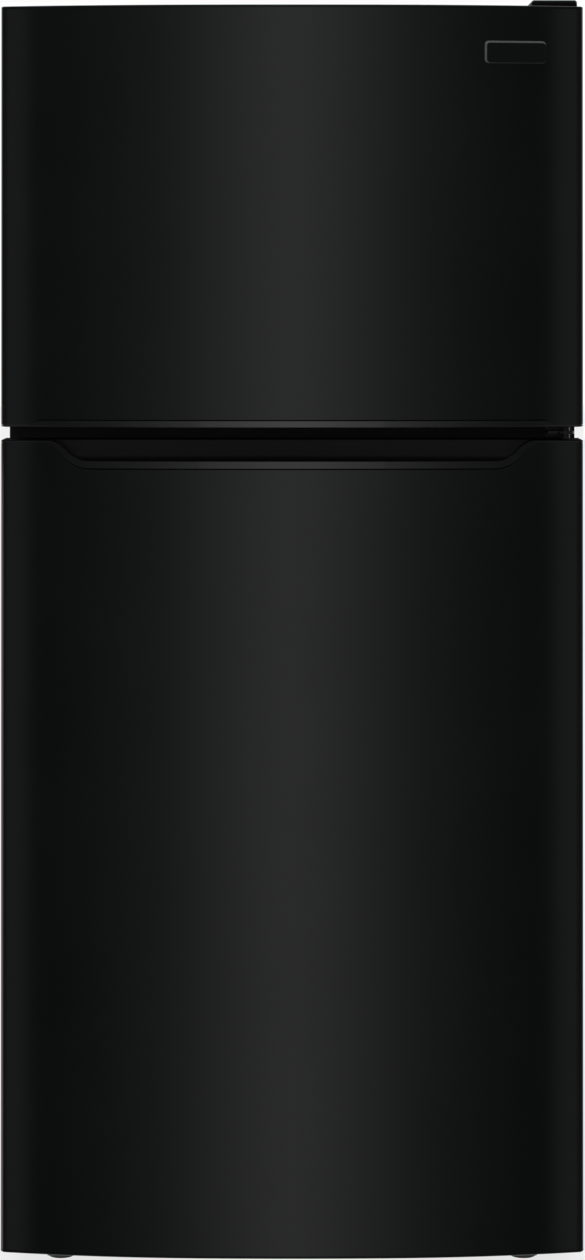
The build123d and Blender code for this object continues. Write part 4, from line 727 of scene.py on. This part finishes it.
# Low strip to the far left, which draws a fine line down the fresh-food door's rounded edge
strip_profile = ((6.3, -3.0), (6.3, 0.7))
strip_level = 1.2
strip_glow, _, strip_shader = new_material("strip_glow", (0.0, 0.0, 0.0), roughness=0.5)
strip_glow.cycles.emission_sampling = "NONE"
strip_shader.inputs["Emission Color"].default_value = WHITE
strip_shader.inputs["Emission Strength"].default_value = strip_level
reflected_screen("strip", strip_glow, strip_profile, start=-100, end=-70, steps=6)

light_target = Vector((0.0, 0.0, 0.9))


def soft_box(name, place, side, radiance):
    """Square soft box aimed at the part, of an even radiance over its face, which reflections don't see."""
    data = bpy.data.lights.new(name, "AREA")
    data.shape = "RECTANGLE"
    data.size = side
    data.size_y = side
    data.energy = radiance * math.pi * side * side
    light = bpy.data.objects.new(name, data)
    light.location = place
    aim = light_target - Vector(place)
    light.rotation_euler = aim.to_track_quat("-Z", "Y").to_euler()
    light.visible_glossy = False
    light.visible_camera = False
    bpy.context.scene.collection.objects.link(light)


soft_box("overhead", (0.0, -1.0, 4.4), side=3.0, radiance=2.0)
soft_box("front_fill", (-1.2, -5.6, 2.2), side=2.5, radiance=4.6)
soft_box("rear_fill", (2.0, 5.0, 2.6), side=2.5, radiance=2.0)

# White all round for the camera, reflections and glass, and a lower even light on the part
ambient_level, backdrop_level = 0.5, 1.0
world = bpy.data.worlds.new("studio")
bpy.context.scene.world = world
world.use_nodes = True
sky = world.node_tree
ambient = sky.nodes["Background"]
backdrop = sky.nodes.new("ShaderNodeBackground")
for background, level in ((ambient, ambient_level), (backdrop, backdrop_level)):
    background.inputs["Color"].default_value = WHITE
    background.inputs["Strength"].default_value = level
rays = sky.nodes.new("ShaderNodeLightPath")
seen = rays.outputs["Is Camera Ray"]
for kind in ("Is Glossy Ray", "Is Transmission Ray"):
    seen = math_node(sky, "MAXIMUM", seen, rays.outputs[kind])
mix_surface(sky, seen, ambient.outputs["Background"], backdrop.outputs["Background"], "World Output")

# Camera straight in front of the doors, a little above the handle, as in the photograph

camera_data = bpy.data.cameras.new("camera")
camera_data.lens = 81.41
camera_data.sensor_width = 36.0
camera_data.shift_x = 0.0003
camera_data.shift_y = -0.2744
camera = bpy.data.objects.new("camera", camera_data)
camera.location = (0.0, -4.084, 1.284)
camera.rotation_euler = (math.radians(90.3), 0.0, 0.0)
bpy.context.scene.collection.objects.link(camera)
bpy.context.scene.camera = camera
bpy.context.scene.view_settings.view_transform = "Standard"
